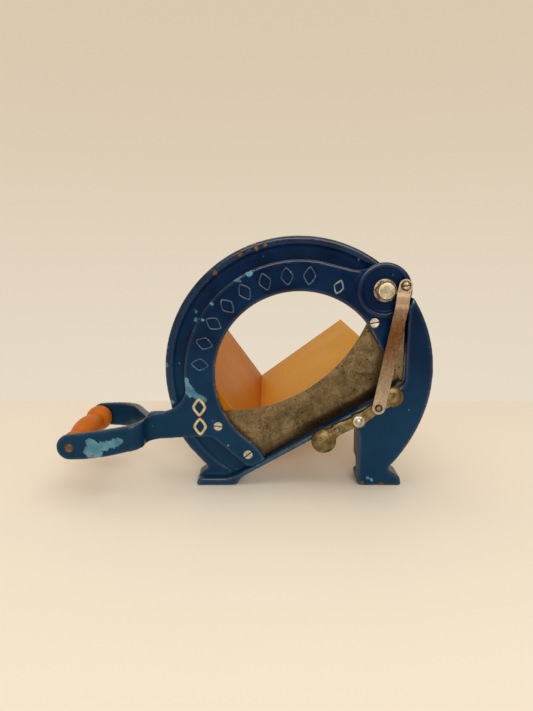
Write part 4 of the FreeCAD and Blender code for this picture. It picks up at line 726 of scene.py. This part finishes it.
for name, nodeName, body, slotName, finish, bevel in hardware:
    piece = machined(name, nodeName, bevel, finishes[finish])
    if name in shadeAndReflectionMaps:
        setAttribute(piece.data, "tarnish", shadeAndReflectionMaps[name](piece.data))
    fit(piece, body, nodeName)
print("stage: blade, strap and hardware")

legSkin = machined("rearLegPressing", "rear_leg", 0.5, finishes["sheetEnamel"])
fit(legSkin, "root", "rear_leg")

trough = {
    "vee": (-41.0, 44.5),  # bottom of the V: across and height in mm
    "lean": 36.0,  # degrees that the right board rises by; the left one stands square to it
    "thickness": 12.0,
    "right": (-12.0, 162.0),  # start and end along each board's face from the V, mm
    "left": (0.0, 102.0),
    "rounding": 1.6,
    "wander": 0.25,  # how far the planed faces waver, mm
    "rows": 90,
    "stainReach": 22.0,
}


def boardCorners(side):  # the section's corners in bench millimetres: the face, then the underside
    lean = math.radians(trough["lean"])
    run, away = (math.cos(lean), math.sin(lean)), (math.sin(lean), -math.cos(lean))
    if side == "left":
        run, away = (-math.sin(lean), math.cos(lean)), (-math.cos(lean), -math.sin(lean))
    start, end = trough[side]
    thick = trough["thickness"]
    x, z = trough["vee"]
    return [(x + along * run[0] + out * away[0], z + along * run[1] + out * away[1])
            for along, out in ((start, 0), (end, 0), (end, thick), (start, thick))]


def board(name, side, nodeName, finish):
    # A plank: its section is a rectangle with rounded corners, carried along Y. The ends are the
    # same section drawn in by steps, so that the end edges are round too, and closed by a flat face.
    low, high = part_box(nodeName)
    rounding = trough["rounding"] * mm
    a, b, c, d = np.array([[benchX + x * mm, z * mm] for x, z in boardCorners(side)])
    spanU, spanV = np.linalg.norm(b - a), np.linalg.norm(d - a)
    u, v = (b - a) / spanU, (d - a) / spanV
    centre = (a + c) / 2
    turns = np.linspace(0, np.pi / 2, 5)

    def section(inset, radius):
        halfU, halfV = spanU / 2 - inset, spanV / 2 - inset
        points = []
        for k, (su, sv) in enumerate(((1, 1), (-1, 1), (-1, -1), (1, -1))):
            angles = turns + k * np.pi / 2
            points.append(np.stack([su * (halfU - radius) + radius * np.cos(angles),
                                    sv * (halfV - radius) + radius * np.sin(angles)], 1))
            if k in (0, 2):  # points along the wide faces, for an even mesh
                steps = np.linspace(1, -1, 26)[1:-1] * (halfU - radius) * su
                points.append(np.stack([steps, np.full(24, sv * halfV)], 1))
        return np.concatenate(points)

    ease = np.linspace(0, np.pi / 2, 5)
    stations = [(low[1] + rounding * (1 - math.sin(t)), rounding * (1 - math.cos(t))) for t in ease]
    stations += [(y, 0.0) for y in np.linspace(low[1] + rounding, high[1] - rounding, trough["rows"])[1:-1]]
    stations += [(high[1] - rounding * (1 - math.sin(t)), rounding * (1 - math.cos(t))) for t in ease[::-1]]
    innermost = spanV / 2 - 0.3 * mm
    stations = [(stations[0][0], innermost)] + stations + [(stations[-1][0], innermost)]
    rings = []
    for y, inset in stations:
        uv = section(inset, min(max(rounding - inset, 0.05 * mm), rounding))
        flat = centre + uv[:, :1] * u + uv[:, 1:] * v
        rings.append(np.stack([flat[:, 0], np.full(len(flat), y), flat[:, 1]], 1))
    grid = np.stack(rings)
    rows, columns = grid.shape[:2]
    wander = trough["wander"] * mm * np.sin(grid[..., 1] * 31.0 + grid[..., 0] * 9.0)
    grid[2:-2, :, 2] -= np.abs(wander[2:-2]) * 0.6
    faces = gridFaces(rows, columns)[:(rows - 1) * columns].tolist()
    faces.append(list(range(columns)))
    faces.append(list(range((rows - 1) * columns, rows * columns))[::-1])
    obj = meshObject(name, grid.reshape(-1, 3), faces, finishes[finish])
    fixNormals(obj)
    obj.data.shade_smooth()
    obj.data.set_sharp_from_angle(angle=math.radians(50))
    vee = np.array([benchX + trough["vee"][0] * mm, trough["vee"][1] * mm])
    away = np.linalg.norm(readPoints(obj.data)[:, (0, 2)] - vee, axis=1) / mm
    setAttribute(obj.data, "stain", 0.9 * np.exp(-away / trough["stainReach"]) + 0.12)
    fit(obj, "root", nodeName)


board("troughRightPlank", "right", "trough_right_board", "rightBoard")
board("troughLeftPlank", "left", "trough_left_board", "leftBoard")
print("stage: trough boards")

gripShape = {
    "full": 14.5,  # mm
    "bore": 3.05,
    "neck": 0.55,  # share of full that the end faces reach
    "pin": (-232.7, 54.3),  # across and height of the pin's line
    "segments": 72,
    # each swelling: its number of points, then an arc through three, in shares of full and length
    "swellings": [
        (16, ((0.62, 0.0), (0.82, 0.07), (0.64, 0.165))),
        (40, ((0.64, 0.165), (0.97, 0.44), (0.66, 0.74))),
        (26, ((0.66, 0.74), (1.0, 0.87), (0.66, 1.0))),
    ],
}


def arcThrough(start, middle, end, count):  # points on the circle through three points
    (x1, y1), (x2, y2), (x3, y3) = start, middle, end
    d = 2 * (x1 * (y2 - y3) + x2 * (y3 - y1) + x3 * (y1 - y2))
    cx = ((x1**2 + y1**2) * (y2 - y3) + (x2**2 + y2**2) * (y3 - y1) + (x3**2 + y3**2) * (y1 - y2)) / d
    cy = ((x1**2 + y1**2) * (x3 - x2) + (x2**2 + y2**2) * (x1 - x3) + (x3**2 + y3**2) * (x2 - x1)) / d
    radius = math.hypot(x1 - cx, y1 - cy)
    a1, a2, a3 = (math.atan2(y - cy, x - cx) for x, y in (start, middle, end))
    a2 = a1 + (a2 - a1 + np.pi) % (2 * np.pi) - np.pi
    a3 = a2 + (a3 - a2 + np.pi) % (2 * np.pi) - np.pi
    angles = np.linspace(a1, a3, count)
    return np.stack([cx + radius * np.cos(angles), cy + radius * np.sin(angles)], 1)


def turnedGrip():
    # A lathe profile (radius, distance along) made of three arcs, spun round the pin's line.
    low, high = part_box("grip")
    first, last = (low[1] - benchY) / mm, (high[1] - benchY) / mm
    span, full, bore = last - first, gripShape["full"], gripShape["bore"]
    neck = full * gripShape["neck"]
    profile = [np.array([[bore, first], [neck, first]])]
    for count, arc in gripShape["swellings"]:
        profile.append(arcThrough(*[(full * r, first + span * t) for r, t in arc], count))
    profile.append(np.array([[neck, last], [bore, last]]))
    profile = np.concatenate(profile)
    apart = np.linalg.norm(np.diff(profile, axis=0), axis=1) > 1e-6
    profile = profile[np.insert(apart, 0, True)]
    profile[:, 0] = np.minimum(profile[:, 0], full)
    angles = np.linspace(0, 2 * np.pi, gripShape["segments"], endpoint=False)
    pinX, pinZ = gripShape["pin"]
    x = benchX + (pinX + profile[:, :1] * np.cos(angles)) * mm
    z = (pinZ + profile[:, :1] * np.sin(angles)) * mm
    y = np.broadcast_to(benchY + profile[:, 1:] * mm, x.shape)
    grid = np.stack([x, y, z], 2)
    obj = meshObject("turnedBeechGrip", grid.reshape(-1, 3), gridFaces(*grid.shape[:2]), finishes["grip"])
    fixNormals(obj)
    obj.data.shade_smooth()
    obj.data.set_sharp_from_angle(angle=math.radians(40))
    radius = np.repeat(profile[:, 0], len(angles))
    setAttribute(obj.data, "stain", np.clip((full * 0.78 - radius) / (full * 0.2), 0, 1) * 0.7)
    fit(obj, "grip", "grip")


turnedGrip()
print("stage: grip")

studio = {
    "table": "#f0eee8", "tableCloud": "#edebe4",
    "tableReach": 2200.0, "tableBack": 337.0, "tableDepth": 900.0,  # mm
    "skyLow": "#e8dcc9", "skyHigh": "#dac8ae", "skyBehindCamera": 0.4,
    "lens": 27.04, "cameraPlace": (-33.19, -542.0, 247.5), "cameraDip": 10.86,
}
lights = [  # name, place and aim in metres, width, height, watts, tint, share seen in reflections
    ("ceilingPanel", (-0.05, -0.15, 1.6), (0.0, 0.0, 0.0), 2.2, 1.7, 12.5, "#fff4e4", 0.8),
    ("frontFill", (0.25, -2.4, 0.95), (0.0, 0.0, 0.05), 1.6, 0.7, 32.0, "#fff6ea", 0.6),
]


def matteLaminate():  # a pale matt table top with a faint, wide unevenness
    material, tree, shader, place = newMaterial("paleMattLaminate", {"Specular IOR Level": 0.35})
    cloud = add(tree, "TexNoise", {"Scale": perMm(400), "Detail": 3.0}, {"Vector": place})
    tone = add(tree, "Mix", {"data_type": "RGBA", mixUnder: studio["tableCloud"], mixOver: studio["table"]},
               {mixFactor: cloud})
    rough = add(tree, "MapRange", {"To Min": 0.45, "To Max": 0.6}, {"Value": cloud})
    feed(tree, shader, {"Base Color": tone, "Roughness": rough})
    return material


def table():  # a slab whose top is z = 0 and whose back edge stands behind the trough
    reach = studio["tableReach"]
    x0, y0, z0 = bench(-reach, -reach, -studio["tableDepth"])
    x1, y1, z1 = bench(reach, studio["tableBack"], 0)
    corners = [(x, y, z) for z in (z0, z1) for y in (y0, y1) for x in (x0, x1)]
    faces = [(0, 2, 3, 1), (4, 5, 7, 6), (0, 1, 5, 4), (2, 6, 7, 3), (0, 4, 6, 2), (1, 3, 7, 5)]
    obj = meshObject("paleTable", corners, faces, matteLaminate())
    edge = obj.modifiers.new("soft edge", "BEVEL")
    edge.width = 1.5 * mm
    edge.segments = 3


def softRoom():  # a pale room that is warmer overhead, and dimmer towards -Y, behind the camera
    world = bpy.data.worlds.new("softStudio")
    bpy.context.scene.world = world
    world.use_nodes = True
    sky = world.node_tree
    sky.nodes.clear()
    axes = add(sky, "SeparateXYZ", {}, {0: add(sky, "TexCoord").outputs["Generated"]})
    upward = add(sky, "MapRange", smooth(-0.36, 0.42), {"Value": axes.outputs["Z"]})
    room = add(sky, "Mix", {"data_type": "RGBA", mixUnder: studio["skyLow"], mixOver: studio["skyHigh"]},
               {mixFactor: upward})
    forward = add(sky, "MapRange", {**smooth(-0.6, 0.3), "To Min": studio["skyBehindCamera"]},
                  {"Value": axes.outputs["Y"]})
    backdrop = add(sky, "Background", {}, {"Color": room, "Strength": forward})
    add(sky, "OutputWorld", {}, {"Surface": backdrop})


def softbox(name, place, aim, width, height, power, tint, shine):
    light = bpy.data.lights.new(name, "AREA")
    light.shape = "RECTANGLE"
    light.size = width
    light.size_y = height
    light.energy = power
    light.color = linear(tint)[:3]
    light.specular_factor = shine
    obj = bpy.data.objects.new(name, light)
    bpy.context.scene.collection.objects.link(obj)
    obj.location = place
    obj.rotation_euler = (Vector(aim) - Vector(place)).to_track_quat("-Z", "Y").to_euler()


table()
softRoom()
for row in lights:
    softbox(*row)

camera = bpy.data.cameras.new("viewCamera")
camera.sensor_width = 36.0
camera.lens = studio["lens"]
cameraObject = bpy.data.objects.new("viewCamera", camera)
bpy.context.scene.collection.objects.link(cameraObject)
cameraObject.location = bench(*studio["cameraPlace"])
cameraObject.rotation_euler = (math.radians(90 - studio["cameraDip"]), 0.0, 0.0)
bpy.context.scene.camera = cameraObject
bpy.context.scene.view_settings.view_transform = "Standard"
print("stage: table, light and camera")
